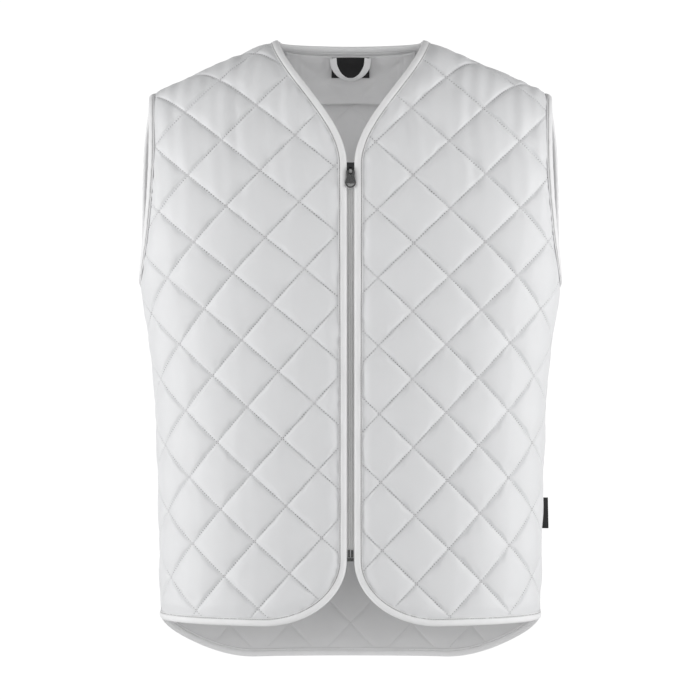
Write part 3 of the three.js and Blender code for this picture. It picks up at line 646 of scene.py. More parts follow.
class Outline:
    """A panel's rim: its points, counter-clockwise, and where each named edge starts."""

    def __init__(self, edges, flip=False):
        cut = {name: stepped(edge) for name, edge in edges.items()}
        self.starts = dict(zip(cut, np.cumsum([0] + [len(edge) for edge in cut.values()])))
        self.points = np.concatenate(list(cut.values()))
        self.seams = [edge for name, edge in cut.items() if name.endswith(("side", "shoulder"))]
        if flip:
            self.points = self.points[::-1] * (-1, 1)
            self.seams = [edge * (-1, 1) for edge in self.seams]


left_outline = Outline(left_front)
right_outline = Outline(left_front, flip=True)
back_outline = Outline(back)
print("rim points:", len(left_outline.points), len(back_outline.points))

# %% [markdown]
# ## Making a mesh
#
# Every soft piece below ends as points, faces and a flat map. One helper turns them into a mesh object in
# metres, gives it its finish, ties it to the body it rides on and hides the solid that it stands for.

# %% Making a mesh


def lay_map(mesh, name, places):
    """A UV map from the places of the mesh's points, given in millimetres."""
    corners = np.zeros(len(mesh.loops), np.int32)
    mesh.loops.foreach_get("vertex_index", corners)
    uv = mesh.uv_layers.new(name=name)
    uv.data.foreach_set("uv", (np.asarray(places, np.float32)[corners] * MM).ravel())


def piece(name, points, faces, flat, finishes, stands_for=(), inside=None):
    """A smooth mesh from millimetre points. inside marks the faces that take the second finish."""
    mesh = bpy.data.meshes.new(name)
    mesh.from_pydata((np.asarray(points) * MM).tolist(), [], faces)
    for made in finishes:
        mesh.materials.append(made)
    if inside is not None:
        mesh.polygons.foreach_set("material_index", np.asarray(inside, np.int32))
    mesh.polygons.foreach_set("use_smooth", np.ones(len(faces), bool))
    lay_map(mesh, "flat", flat)
    mesh.update()
    made = bpy.data.objects.new(name, mesh)
    scene.collection.objects.link(made)
    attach(made, "vest")
    if stands_for:
        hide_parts(*stands_for)
    return made


print("ready to make pieces")

# %% [markdown]
# ## Quilted panels
#
# Quilting is wadding between two cloths, stitched through in lines. Between the lines the shell swells.
# A sculpted pillow would look too perfect, so the shell is simulated: the cloth is pinned along the stitch
# lines and blown up with pressure, and since it is cut a little too large, it swells and puckers by itself.
# The mesh follows the stitch lines, with narrow cells beside them, where the cloth bends most.

# %% Stitch lines
Quilt = namedtuple("Quilt", "slash backslash crossing")
QUILTS = {
    "right": Quilt(46.8, 139.7, (-169, -313)),
    "left": Quilt(45.5, 137, (71, -316)),
    "back": Quilt(45, 135, (0, -300)),
}
CELLS = 16
GATHER = 0.62
RIM_CLEARANCE = 1.5
CHUNK = 3000
ON_LINE = 1e-4


def quilt_axes(quilt):
    angles = np.radians([quilt.slash, quilt.backslash])
    return QUILT_PITCH * np.stack([np.cos(angles), np.sin(angles)], axis=-1)


def quilt_steps(quilt, flat):
    """Where flat points lie, counted in squares along the two stitch directions."""
    return (flat - np.array(quilt.crossing)) @ np.linalg.inv(quilt_axes(quilt))


def inside_rim(rim, points):
    after = np.roll(rim, -1, axis=0)
    found = []
    for some in np.array_split(points, max(1, len(points) // CHUNK)):
        x, y = some[:, :1], some[:, 1:]
        straddles = (rim[:, 1] > y) != (after[:, 1] > y)
        run = np.where(after[:, 1] == rim[:, 1], 1, after[:, 1] - rim[:, 1])
        cross_x = rim[:, 0] + (y - rim[:, 1]) / run * (after[:, 0] - rim[:, 0])
        found.append((straddles & (x < cross_x)).sum(axis=1) % 2 == 1)
    return np.concatenate(found)


def distance_to(line, points, closed=False):
    """Distance from flat points to a line of flat points."""
    ends = np.roll(line, -1, axis=0) if closed else line[1:]
    starts = line if closed else line[:-1]
    run = ends - starts
    found = []
    for some in np.array_split(points, max(1, len(points) // CHUNK)):
        offset = some[:, None, :] - starts
        t = ((offset * run).sum(axis=2) / (run * run).sum(axis=1)).clip(0, 1)
        found.append(np.linalg.norm(offset - t[:, :, None] * run, axis=2).min(axis=1))
    return np.concatenate(found)


def rim_and_seam(outline, flat):
    """Distances from flat points to the rim of a panel, and to its nearest seam."""
    seams = [distance_to(edge, flat) for edge in outline.seams]
    return distance_to(outline.points, flat, closed=True), np.minimum.reduce(seams)


def quilt_span(outline, quilt):
    """The first and the last stitch lines that a rim needs, in both directions."""
    counted = quilt_steps(quilt, outline.points)
    return np.floor(counted.min(axis=0)), np.ceil(counted.max(axis=0))


def quilt_grid(outline, quilt):
    """Flat points inside a rim, on lines that run with the stitching and gather beside it."""
    step = np.arange(CELLS) / CELLS
    step = step - GATHER / (2 * math.pi) * np.sin(2 * math.pi * step)
    low, high = quilt_span(outline, quilt)
    lines = [(np.arange(low[k], high[k])[:, None] + step).ravel() for k in (0, 1)]
    a, b = np.meshgrid(*lines, indexing="ij")
    points = np.stack([a.ravel(), b.ravel()], axis=-1) @ quilt_axes(quilt) + np.array(quilt.crossing)
    points = points[inside_rim(outline.points, points)]
    return points[distance_to(outline.points, points, closed=True) > RIM_CLEARANCE]


def cut_mesh(outline, quilt):
    """Flat points and triangles of a panel: the rim first, then the grid."""
    flat = np.concatenate([outline.points, quilt_grid(outline, quilt)])
    count = len(outline.points)
    rim_edges = [(i, (i + 1) % count) for i in range(count)]
    cut = geometry.delaunay_2d_cdt([Vector(p) for p in flat], rim_edges, [], 1, 1e-6)
    order = np.array([was[0] for was in cut[3]])
    return flat, [[int(order[i]) for i in face] for face in cut[2]]


Panel = namedtuple("Panel", "solid thread half outline quilt")
PANELS = [
    Panel("front_panel_left", "quilting_thread_left", front_half, left_outline, QUILTS["left"]),
    Panel("front_panel_right", "quilting_thread_right", front_half, right_outline, QUILTS["right"]),
    Panel("back_panel", "quilting_thread_back", back_half, back_outline, QUILTS["back"]),
]
panel_meshes = [cut_mesh(panel.outline, panel.quilt) for panel in PANELS]
print("points in the panels:", *(len(flat) for flat, _ in panel_meshes))

# %% [markdown]
# ### Blowing up the quilting
#
# The pinned points are the stitch lines and the strip under the binding. Gravity is off, because the wadding
# holds the cloth up. After twenty frames the rise of each point is read, and a soft limit flattens the tops,
# as wadding of one thickness does. The simulated mesh itself is thrown away.

# %% Blowing up the quilting
BINDING_WIDTH = 8.0
BOUND_STRIP = 7.5
HALF_CLOTH = 1.5
START_RISE = 5.4
DOME_POWER = 0.46
SEAM_EASE = 55
BINDING_EASE = 11
BINDING_EASE_POWER = 0.8
RISE_LIMIT = 8.0
PRESSURE = 3.0
SLACK = 0.004
SIM_FRAMES = 20
CREASE_ZONE = (-260, -90)
CREASE_WIDTHS = (17, 23, 37)
CREASE_SHARE = 0.14
CREASE_LEAST = 0.2
CREASE_SWAY = {"size": 1.2, "length": 31}


def on_stitch_line(quilt, flat):
    steps = quilt_steps(quilt, flat)
    return (np.abs(steps - np.round(steps)) < ON_LINE).any(axis=1)


def pillow(quilt, flat):
    """Plain dome between the stitch lines, from 0 to 1."""
    steps = quilt_steps(quilt, flat)
    return np.abs(np.sin(math.pi * steps)).prod(axis=1) ** DOME_POWER


def upright_creases(flat):
    """Small upright folds, deepest near the shoulders, as a share of the pillow's height."""
    u, v = flat[:, 0], flat[:, 1]
    near_shoulder = ((v - CREASE_ZONE[0]) / (CREASE_ZONE[1] - CREASE_ZONE[0])).clip(CREASE_LEAST, 1)
    waves = [
        np.sin(2 * math.pi * u / width + CREASE_SWAY["size"] * np.sin(v / CREASE_SWAY["length"] + width))
        for width in CREASE_WIDTHS
    ]
    return CREASE_SHARE * near_shoulder * sum(waves)


def blown_up(half, flat, faces, pinned, start):
    """Where the shell's points are after the pressure has acted, in millimetres."""
    mesh = bpy.data.meshes.new("blown_up")
    upright = faces if half.facing < 0 else [face[::-1] for face in faces]
    mesh.from_pydata((start * MM).tolist(), [], upright)
    shell = bpy.data.objects.new("blown_up", mesh)
    scene.collection.objects.link(shell)
    pins = shell.vertex_groups.new(name="pins")
    pins.add(np.flatnonzero(pinned).tolist(), 1.0, "REPLACE")
    cloth = shell.modifiers.new("cloth", "CLOTH")
    cloth.settings.quality = 5
    cloth.settings.vertex_group_mass = "pins"
    cloth.settings.use_pressure = True
    cloth.settings.uniform_pressure_force = PRESSURE
    cloth.settings.shrink_min = -SLACK
    cloth.settings.effector_weights.gravity = 0
    cloth.collision_settings.use_collision = False
    cloth.point_cache.frame_end = SIM_FRAMES
    for frame_number in range(1, SIM_FRAMES + 1):
        scene.frame_set(frame_number)
    done = shell.evaluated_get(bpy.context.evaluated_depsgraph_get())
    found = np.zeros(len(flat) * 3, np.float32)
    done.data.vertices.foreach_get("co", found)
    scene.frame_set(1)
    bpy.data.objects.remove(shell)
    bpy.data.meshes.remove(mesh)
    return found.reshape(-1, 3).astype(float) / MM


def swelling(panel, flat, faces):
    """How each point of a panel's shell moves outwards and along the cloth, in millimetres."""
    half, quilt = panel.half, panel.quilt
    rim, seam = rim_and_seam(panel.outline, flat)
    bound = (rim < BOUND_STRIP) & (seam > BOUND_STRIP)
    pinned = on_stitch_line(quilt, flat) | bound | (rim < RIM_CLEARANCE)
    normal = half.normal(flat)
    base = half.surface(flat) + normal * HALF_CLOTH
    edge = np.where(seam < BOUND_STRIP, seam, rim - BOUND_STRIP)
    ease = (seam / SEAM_EASE).clip(0, 1) * (edge / BINDING_EASE).clip(0, 1) ** BINDING_EASE_POWER
    dome = START_RISE * pillow(quilt, flat) * ease * (1 + upright_creases(flat))
    start = base + normal * np.where(pinned, 0, dome)[:, None]
    moved = blown_up(half, flat, faces, pinned, start) - base
    rise = (moved * normal).sum(axis=1)
    along = moved - rise[:, None] * normal
    rise = RISE_LIMIT * np.tanh(rise.clip(0) / RISE_LIMIT)
    print("  highest pillow", round(float(rise.max()), 2), "mm, slip", round(float(np.abs(along).max()), 2))
    return rise, along, seam, edge


# %% [markdown]
# ### Closing the panels
#
# The lining swells the other way, less than half as far, because it is cut to size. Both sheets thin out
# towards the side and shoulder seams, where the cloth turns in. Joining their rims makes each panel one
# closed pad.

# %% Closing the panels
LINING_SHARE = 0.4
SEAM_TURN = 5.0
SEAM_THINNING = 0.8
CREASE = {"depth": 0.9, "width": 1.2}


def rim_pairs(faces):
    """Directed edges that only one face uses."""
    used = {}
    for face in faces:
        for start, end in zip(face, face[1:] + face[:1]):
            if used.pop((end, start), None) is None:
                used[(start, end)] = True
    return list(used)


def slab(outer, inner, faces, upright):
    """Points and faces of a closed slab between two matching sheets, and which faces are inside."""
    count = len(outer)
    walls = [[end, start, start + count, end + count] for start, end in rim_pairs(faces)]
    under = [[i + count for i in face[::-1]] for face in faces]
    closed = faces + walls + under
    inside = [0] * (len(faces) + len(walls)) + [1] * len(under)
    if not upright:
        closed = [face[::-1] for face in closed]
    return np.concatenate([outer, inner]), closed, inside


def quilted_panel(panel, flat, faces):
    """A closed pad, with the shell outside and the lining inside."""
    half = panel.half
    rise, along, seam, lip = swelling(panel, flat, faces)
    normal = half.normal(flat)
    crease = CREASE["depth"] * np.exp(-((lip / CREASE["width"]) ** 2))
    turn = 1 - SEAM_THINNING * (1 - (seam / SEAM_TURN).clip(0, 1)) ** 2
    outer = half.surface(flat) + along + normal * (HALF_CLOTH * turn + rise - crease)[:, None]
    inner = half.surface(flat) - normal * (HALF_CLOTH * turn + LINING_SHARE * rise)[:, None]
    points, closed, inside = slab(outer, inner, faces, half.facing < 0)
    both = np.concatenate([flat, flat])
    cloths = [shell_cloth, lining_cloth]
    made = piece("quilted_" + panel.solid, points, closed, both, cloths, [panel.solid], inside)
    lay_map(made.data, "quilt", quilt_steps(panel.quilt, both) * QUILT_PITCH)


for panel, (flat, faces) in zip(PANELS, panel_meshes):
    quilted_panel(panel, flat, faces)
print("panels made:", len(PANELS))

# %% [markdown]
# ## Quilting stitches
#
# The thread shows as a row of short dashes in every groove, on the shell and on the lining. A line drawn in
# the material would look painted, so each stitch is a small spindle: thick in the middle, with a point at
# each end where the thread dives into the cloth. NumPy places thousands of them in one mesh.

# %% Quilting stitches
Stitch = namedtuple("Stitch", "pitch length width")
QUILTING = Stitch(STITCH_PITCH, 2.3, 0.8)
STITCH_MARGIN = 1.5
STITCH_LIFT = 0.1
SPINDLE_RING = [(1, 0), (0, 1), (-1, 0), (0, -1)]
SPINDLE_BELLY = [(end, *spot) for end in (-0.5, 0.5) for spot in SPINDLE_RING]
SPINDLE = np.array([(-1, 0, 0), *SPINDLE_BELLY, (1, 0, 0)])
SPINDLE_FACES = [
    (0, 2, 1), (0, 3, 2), (0, 4, 3), (0, 1, 4),
    (1, 2, 6, 5), (2, 3, 7, 6), (3, 4, 8, 7), (4, 1, 5, 8),
    (9, 5, 6), (9, 6, 7), (9, 7, 8), (9, 8, 5),
]


def stitch_row(places, along, normal, stitch):
    """Points and faces of stitches at places, which lie along the given directions."""
    along = unit(along - (along * normal).sum(axis=1, keepdims=True) * normal)
    across = np.cross(normal, along)
    thick = stitch.width / 2
    axes = np.stack([along * stitch.length / 2, across * thick, normal * thick], axis=1)
    points = places[:, None, :] + SPINDLE @ axes
    starts = range(0, len(places) * len(SPINDLE), len(SPINDLE))
    return points.reshape(-1, 3), [[start + i for i in face] for start in starts for face in SPINDLE_FACES]


def joined(parts):
    """Points and faces of several meshes as one."""
    points, faces, count = [], [], 0
    for some_points, some_faces in parts:
        points.append(some_points)
        faces += [[i + count for i in face] for face in some_faces]
        count += len(some_points)
    return np.concatenate(points), faces


def quilting_lines(outline, quilt):
    """Flat places of the stitches of a panel, and the flat direction of each."""
    axes = quilt_axes(quilt)
    low, high = quilt_span(outline, quilt)
    places, directions = [], []
    for k in (0, 1):
        run = np.arange(low[k], high[k], QUILTING.pitch / QUILT_PITCH)
        line = np.arange(low[1 - k], high[1 - k] + 1)
        steps = np.zeros((len(line), len(run), 2))
        steps[:, :, k] = run
        steps[:, :, 1 - k] = line[:, None]
        flat = steps.reshape(-1, 2) @ axes + np.array(quilt.crossing)
        places.append(flat)
        directions.append(np.tile(axes[k] / QUILT_PITCH, (len(flat), 1)))
    places, directions = np.concatenate(places), np.concatenate(directions)
    inside = inside_rim(outline.points, places)
    places, directions = places[inside], directions[inside]
    rim, seam = rim_and_seam(outline, places)
    kept = np.where(seam < BINDING_WIDTH, seam > STITCH_MARGIN, rim > BINDING_WIDTH + STITCH_MARGIN)
    return places[kept], directions[kept]


def quilting_thread(panel):
    """Stitches on the shell and on the lining of a panel."""
    half = panel.half
    flat, direction = quilting_lines(panel.outline, panel.quilt)
    along = half.surface(flat + direction) - half.surface(flat - direction)
    normal = half.normal(flat)
    level = HALF_CLOTH + STITCH_LIFT
    shell = stitch_row(half.surface(flat) + normal * level, along, normal, QUILTING)
    lining = stitch_row(half.surface(flat) - normal * level, along, -normal, QUILTING)
    points, faces = joined([shell, lining])
    piece(panel.thread, points, faces, points[:, :2], [thread_cloth])
    print(panel.thread, "stitches:", 2 * len(flat))


for panel in PANELS:
    quilting_thread(panel)

# %% [markdown]
# ## Bound edges
#
# A tape is folded round every cut edge and sewn down through all layers, so its section is a plump C with
# a dent where the thread pulls. Sweeping that section along the rim points of a panel makes the binding.
# A slow ripple along the way keeps it from looking extruded. The armhole binding is a closed ring over the
# front and the back; the others end in the seams.

# %% Section of the binding
FoldRow = namedtuple("FoldRow", "depth outward inner_depth inner_outward")
HALF_FOLD = [
    FoldRow(7.1, 1.75, 6.9, 1.6),
    FoldRow(7.0, 2.3, 6.8, 1.58),
    FoldRow(6.6, 2.6, 6.5, 1.55),
    FoldRow(6.2, 2.4, 6.15, 1.55),
    FoldRow(6.05, 1.7, 6.0, 1.55),
    FoldRow(5.15, 1.7, 5.2, 1.55),
    FoldRow(5.0, 2.6, 5.05, 1.55),
    FoldRow(4.4, 3.1, 4.5, 1.6),
    FoldRow(3.3, 3.4, 3.3, 1.65),
    FoldRow(1.8, 3.4, 1.8, 1.65),
    FoldRow(0.2, 3.05, 0.3, 1.65),
    FoldRow(-1.2, 2.3, -0.4, 1.2),
    FoldRow(-2.1, 1.1, -0.65, 0.6),
]
FOLD_MIDDLE = FoldRow(-2.3, 0, -0.7, 0)
fold = np.array(HALF_FOLD + [FOLD_MIDDLE] + HALF_FOLD[::-1], float)
fold[len(HALF_FOLD) + 1 :, [1, 3]] *= -1
FOLD_SECTION = np.concatenate([fold[:, :2], fold[::-1, 2:]])
FOLD_RUN = run_along(FOLD_SECTION)
TAPE_WIDTH = FOLD_RUN[len(fold) - 1]
GROOVE_FACES = (3, 4, 5)
print(f"tape folded round the edge is {TAPE_WIDTH:.1f} mm wide")

# %% [markdown]
# ### Sweeping it
#
# At each rim point the section stands square to the edge. At an end it is turned into the seam, so that two
# bindings meet along one line.

# %% Sweeping a binding
Station = namedtuple("Station", "half point inward")
RIPPLES = [(11.3, 0.05), (17.9, 0.04), (43.0, 0.03)]
TOPSTITCH = Stitch(2.9, 2.0, 0.36)
TOPSTITCH_DEPTH = 5.6
TOPSTITCH_LEVEL = 1.8
END_GAP = 0.25
SHOULDER_FLATTENING = 0.42
GROOVE_LEVEL = 2
MITRE_LIMIT = 0.5


def turned_left(direction):
    return np.stack([-direction[..., 1], direction[..., 0]], axis=-1)


def inward_steps(points):
    """Flat steps from the rim into the cloth, longer at a corner."""
    first = turned_left(unit(points - np.roll(points, 1, axis=0)))
    second = np.roll(first, -1, axis=0)
    middle = unit(first + second)
    return middle / np.maximum((middle * first).sum(axis=1), MITRE_LIMIT)[:, None]


def edge_stations(half, outline, first, last):
    """Stations along a rim, from the start of one named edge to that of another, with both ends in seams."""
    points = outline.points
    order = np.arange(outline.starts[first], outline.starts[last] + 1) % len(points)
    place, inward = points[order].copy(), inward_steps(points)[order]
    for at, beside, seam_point in ((0, 1, order[0] - 1), (-1, -2, (order[-1] + 1) % len(points))):
        along = unit(points[order[beside]] - points[order[at]])
        seam = unit(points[seam_point] - points[order[at]])
        square = turned_left(along) * (1 if at == 0 else -1)
        inward[at] = seam / (seam @ square)
        place[at] += along * END_GAP
    return Station(half, place, inward)


def station_rings(station, ripple):
    """A ring of section points at every station, flatter where the edge turns over the shoulder."""
    half, point, inward = station
    flatness = 1 - SHOULDER_FLATTENING * half.normal(point)[:, 2].clip(0, 1) ** 2
    depth, outward = FOLD_SECTION[:, 0], FOLD_SECTION[:, 1]
    flat = point[:, None, :] + inward[:, None, :] * np.maximum(depth, 0)[:, None]
    standing = np.abs(outward) > GROOVE_LEVEL
    plump = outward * (1 + ripple[:, None] * standing)
    plump = np.where(standing, plump * flatness[:, None], plump)
    edge = half.surface(point)
    past = unit(edge - half.surface(point + PROBE * inward))
    beyond = past[:, None, :] * np.maximum(-depth, 0)[:, None]
    return half.surface(flat) + half.normal(flat) * plump[..., None] + beyond


def rippled(lengths):
    return sum(size * np.sin(2 * math.pi * lengths / period) for period, size in RIPPLES)


def swept(rings, closed=False, capped=None):
    """Faces between rings, closed into a loop or capped with quads between its two halves."""
    count, size = rings.shape[:2]
    faces = []
    for i in range(count if closed else count - 1):
        here, there = i * size, (i + 1) % count * size
        faces += [
            [here + k, here + (k + 1) % size, there + (k + 1) % size, there + k] for k in range(size)
        ]
    if capped:
        last = (count - 1) * size
        faces += [face[::-1] for face in capped] + [[last + i for i in face] for face in capped]
    return faces


def end_quads(section):
    """Quads that close the end of a section whose second half runs back beside its first."""
    size = len(section)
    return [[k, k + 1, size - 2 - k, size - 1 - k] for k in range(size // 2 - 1)]


def facing_out(points, faces):
    """The faces, turned round if they enclose a negative volume."""
    first, second, third = (points[[face[k] for face in faces]] for k in (0, 1, 2))
    volume = (first * np.cross(second, third)).sum()
    return faces if volume > 0 else [face[::-1] for face in faces]


def spread(*parts):
    """Arrays stretched to one shape and stacked as the parts of points."""
    return np.stack(np.broadcast_arrays(*parts), axis=-1)


def binding(name, stations, closed=False, mirrored=False):
    """A bound edge as a folded tape, with its row of stitches."""
    middles = np.concatenate([station.half.surface(station.point) for station in stations])
    lengths = run_along(middles)
    ripple = rippled(lengths)
    counts = np.cumsum([len(station.point) for station in stations])[:-1]
    parts = zip(stations, np.split(ripple, counts))
    rings = np.concatenate([station_rings(station, part) for station, part in parts])
    thread = [topstitches(station) for station in stations]
    flat = spread(lengths[:, None], FOLD_RUN[None, :]).reshape(-1, 2)
    points, faces = rings.reshape(-1, 3), swept(rings, closed, None if closed else end_quads(FOLD_SECTION))
    sewn, sewn_faces = joined(thread)
    if mirrored:
        points, sewn = points * (-1, 1, 1), sewn * (-1, 1, 1)
        sewn_faces = [face[::-1] for face in sewn_faces]
    order = np.arange(len(faces))
    uncapped = order < (len(rings) - (not closed)) * len(FOLD_SECTION)
    # The groove's faces take the greyer tape: painted shade in the dent.
    groove_shade_faces = np.isin(order % len(FOLD_SECTION), GROOVE_FACES) & uncapped
    faces = facing_out(points, faces)
    cloths = [binding_tape, groove_painted_shade]
    tape = piece("folded_" + name, points, faces, flat, cloths, [name], groove_shade_faces)
    row = piece("topstitch_" + name, sewn, sewn_faces, sewn[:, :2], [thread_cloth])
    size = (TAPE_WIDTH * MM, float(lengths[-1]) * MM)
    return size


def topstitches(station):
    """Stitches in the dent of a binding, on the outside of the vest."""
    half, point, inward = station
    line = point + inward * TOPSTITCH_DEPTH
    lengths = run_along(line)
    places = np.arange(TOPSTITCH.pitch, lengths[-1] - TOPSTITCH.pitch / 2, TOPSTITCH.pitch)
    flat = at_places(line, lengths, places)
    ahead = at_places(line, lengths, places + 1)
    normal = half.normal(flat)
    spots = half.surface(flat) + normal * TOPSTITCH_LEVEL
    return stitch_row(spots, half.surface(ahead) - half.surface(flat), normal, TOPSTITCH)


# %% [markdown]
# ### Round every edge
#
# The front binding runs from the shoulder down the neck and the zip edge, round the corner and along the hem
# to the side seam. The right front's is its mirror image, and so is the right armhole's.

# %% Binding the edges
front_edge = [edge_stations(front_half, left_outline, "neck", "side")]
front_hole = edge_stations(front_half, left_outline, "armhole", "shoulder")
back_hole = edge_stations(back_half, back_outline, "left_armhole", "left_shoulder")
armhole = [front_hole, Station(back_half, back_hole.point[::-1], back_hole.inward[::-1])]
neck_edge = [edge_stations(back_half, back_outline, "neck", "right_shoulder")]
tail_edge = [edge_stations(back_half, back_outline, "tail", "left_side")]
binding_sizes = {
    "front": binding("binding_front_left", front_edge),
    "front, mirrored": binding("binding_front_right", front_edge, mirrored=True),
    "armhole": binding("binding_armhole_left", armhole, closed=True),
    "armhole, mirrored": binding("binding_armhole_right", armhole, closed=True, mirrored=True),
    "back neck": binding("binding_back_neck", neck_edge),
    "tail": binding("binding_back_hem", tail_edge),
}
for edge_name, (tape_width, tape_length) in binding_sizes.items():
    print(f"{edge_name} binding {1000 * tape_width:.1f} by {1000 * tape_length:.0f} mm")

# %% [markdown]
# ## Zip
#
# Behind the two bound front edges hang two woven tapes, and a nylon coil is sewn to each. A coil is a wire
# wound in loops. The loops of one side reach between those of the other, so the two are swept along helices
# that are half a turn apart. The metal slider, puller and stops keep their solids: a bevel softens their
# edges and the dark metal does the rest.

# %% Zip tapes
TAPE = {"inner": 3.3, "outer": 15.0, "front": 3.6, "back": 4.4, "top": -153, "bottom": -594}
TAPE_STEP = 3.0
TapeRow = namedtuple("TapeRow", "across swell")
TAPE_ROWS = [
    TapeRow(0.0, 0.35),
    TapeRow(0.4, 0.9),
    TapeRow(1.0, 1.1),
    TapeRow(1.7, 1.0),
    TapeRow(2.6, 0.75),
    TapeRow(6.0, 0.75),
    TapeRow(10.0, 0.75),
    TapeRow(11.3, 0.7),
    TapeRow(11.7, 0.3),
]
SIDES = (("right", -1), ("left", 1))


def zip_line(z):
    """Depth of the middle of the front cloth beside the zip."""
    return front_half.surface(front_half.flat_at(ZIP_EDGE, z))[:, 1]


def tape_section():
    """A thin strip with rounded edges and a woven cord beside the coil, as (x, depth)."""
    middle = (TAPE["front"] + TAPE["back"]) / 2
    thin = (TAPE["back"] - TAPE["front"]) / 2
    across, swell = np.array(TAPE_ROWS).T
    x = across + TAPE["inner"]
    front_side = np.stack([x, middle - thin * swell], axis=-1)
    back_side = np.stack([x, middle + thin * swell], axis=-1)
    return np.concatenate([front_side, back_side[::-1]])


tape_z = np.arange(TAPE["top"], TAPE["bottom"] - 1, -TAPE_STEP)
tape_y = zip_line(tape_z)
strip = tape_section()
for side, turn in SIDES:
    node = f"zip_tape_{side}"
    rings = spread(turn * strip[None, :, 0], tape_y[:, None] + strip[None, :, 1], tape_z[:, None])
    points = rings.reshape(-1, 3)
    faces = facing_out(points, swept(rings, capped=end_quads(strip)))
    woven = piece("woven_" + node, points, faces, points[:, [0, 2]], [zip_cloth], [node])

# %% [markdown]
# ### The coil
#
# A helix is a circle that moves on as it turns. The wire's section is a small hexagon, enough for a thread
# less than a millimetre thick.

# %% Nylon coil
COIL = {"middle": 1.35, "reach": 1.2, "depth": 3.65, "deep": 0.95, "top": -154, "bottom": -585}
COIL_PITCH = 1.5
WIRE_RADIUS = 0.36
TURN_POINTS = 10
WIRE_SIDES = 6

coil_turns = (COIL["top"] - COIL["bottom"]) / COIL_PITCH
coil_angle = np.arange(int(coil_turns * TURN_POINTS)) * 2 * math.pi / TURN_POINTS
wire_angle = np.arange(WIRE_SIDES) * 2 * math.pi / WIRE_SIDES
for side, turn in SIDES:
    z = COIL["top"] - COIL_PITCH * (coil_angle / (2 * math.pi) + (0.5 if turn > 0 else 0))
    x = COIL["middle"] - COIL["reach"] * np.cos(coil_angle)
    depth = COIL["depth"] + COIL["deep"] * np.sin(coil_angle)
    centre = np.stack([turn * x, zip_line(z) + depth, z], axis=-1)
    along = unit(np.gradient(centre, axis=0))
    out = np.stack([-turn * np.cos(coil_angle), np.sin(coil_angle), np.zeros_like(z)], axis=-1)
    out = unit(out - (out * along).sum(axis=1, keepdims=True) * along)
    beside = np.cross(along, out)
    rings = centre[:, None, :] + WIRE_RADIUS * (
        out[:, None, :] * np.cos(wire_angle)[:, None] + beside[:, None, :] * np.sin(wire_angle)[:, None]
    )
    points = rings.reshape(-1, 3)
    faces = facing_out(points, swept(rings, capped=[list(range(WIRE_SIDES))]))
    node = f"zip_coil_{side}"
    piece("wound_" + node, points, faces, points[:, [0, 2]], [nylon], [node])
print(f"coil turns on each side: {coil_turns:.0f}")

# %% [markdown]
# ### Metal pieces
#
# The slider, the puller and the bottom end are hard, so they keep their solids. Real metal has no perfectly
# sharp edge, and a small bevel on each edge catches the light.

# %% Metal pieces of the zip
BEVELS = {"zip_slider": 0.45, "zip_puller": 0.3, "zip_pin_right": 0.4, "zip_pin_left": 0.4, "zip_box": 0.6}

for node, width in BEVELS.items():
    metal = bpy.data.objects[node]
    softened = metal.modifiers.new("softened", "BEVEL")
    softened.width = width * MM
    softened.segments = 3
    softened.limit_method = "ANGLE"
    metal.data.materials.clear()
    metal.data.materials.append(gunmetal_bright_highlight if node == "zip_slider" else gunmetal_dim_highlight)
print("metal pieces:", len(BEVELS))

# %% [markdown]
# ## Inside the back neck
#
# A plain facing covers the quilting inside the neck. Its lower edge is folded under and sewn. A bare black
# label is sewn under the neck binding, and a loop to hang the vest by starts at both its upper corners and
# twists so that its foot stands nearly edge on.

# %% Neck facing
FACING = {"half_width": 76, "bottom": -63, "outer": 4.0, "thickness": 0.8}
FACING_STEP = 2.5
HEM_BAND = {"height": 8.0, "thickness": 1.0, "fold": 1.5, "lift": 2.8, "lifted": 12}
FACING_RIBS = {"u": 63, "apart": 8, "height": 1.2, "width": 1.0}
FACING_SWELL = {"height": 3.0, "edge": 10}
LABEL_PATCH = {"half_width": 28, "height": 30, "blend": 8}
SEWN_GAP = 0.5


def under_back_neck(u):
    """Lower edge of the back neck's binding."""
    return back_half.height(np.abs(u) / QUARTER_GIRTH, BACK_NECK) - BINDING_WIDTH - SEWN_GAP


neck_line = float(under_back_neck(np.zeros(1))[0])


def sheet_grid(half_width, top_at, bottom, step):
    """Flat points of a four-sided sheet inside the back, and its quads."""
    columns = round(2 * half_width / step)
    u = np.linspace(-half_width, half_width, columns + 1)
    rows = max(3, round(float(top_at(np.zeros(1))[0] - bottom) / step))
    share = np.linspace(0, 1, rows + 1)
    flat = np.stack([np.tile(u, (rows + 1, 1)), mix(bottom, top_at(u)[None, :], share[:, None])], axis=-1)
    corner = np.arange((rows + 1) * (columns + 1)).reshape(rows + 1, columns + 1)
    quads = np.stack([corner[:-1, :-1], corner[:-1, 1:], corner[1:, 1:], corner[1:, :-1]], axis=-1)
    return flat.reshape(-1, 2), quads.reshape(-1, 4).tolist()


def sewn_patch(node, flat, quads, outer, inner, made):
    """A closed sheet on the inside of the back between two depths, in place of a solid."""
    points, closed, _ = slab(back_half.cloth(flat, -outer), back_half.cloth(flat, -inner), quads, False)
    both = np.concatenate([flat, flat])
    patch = piece("sewn_" + node, points, facing_out(points, closed), both, [made], [node])


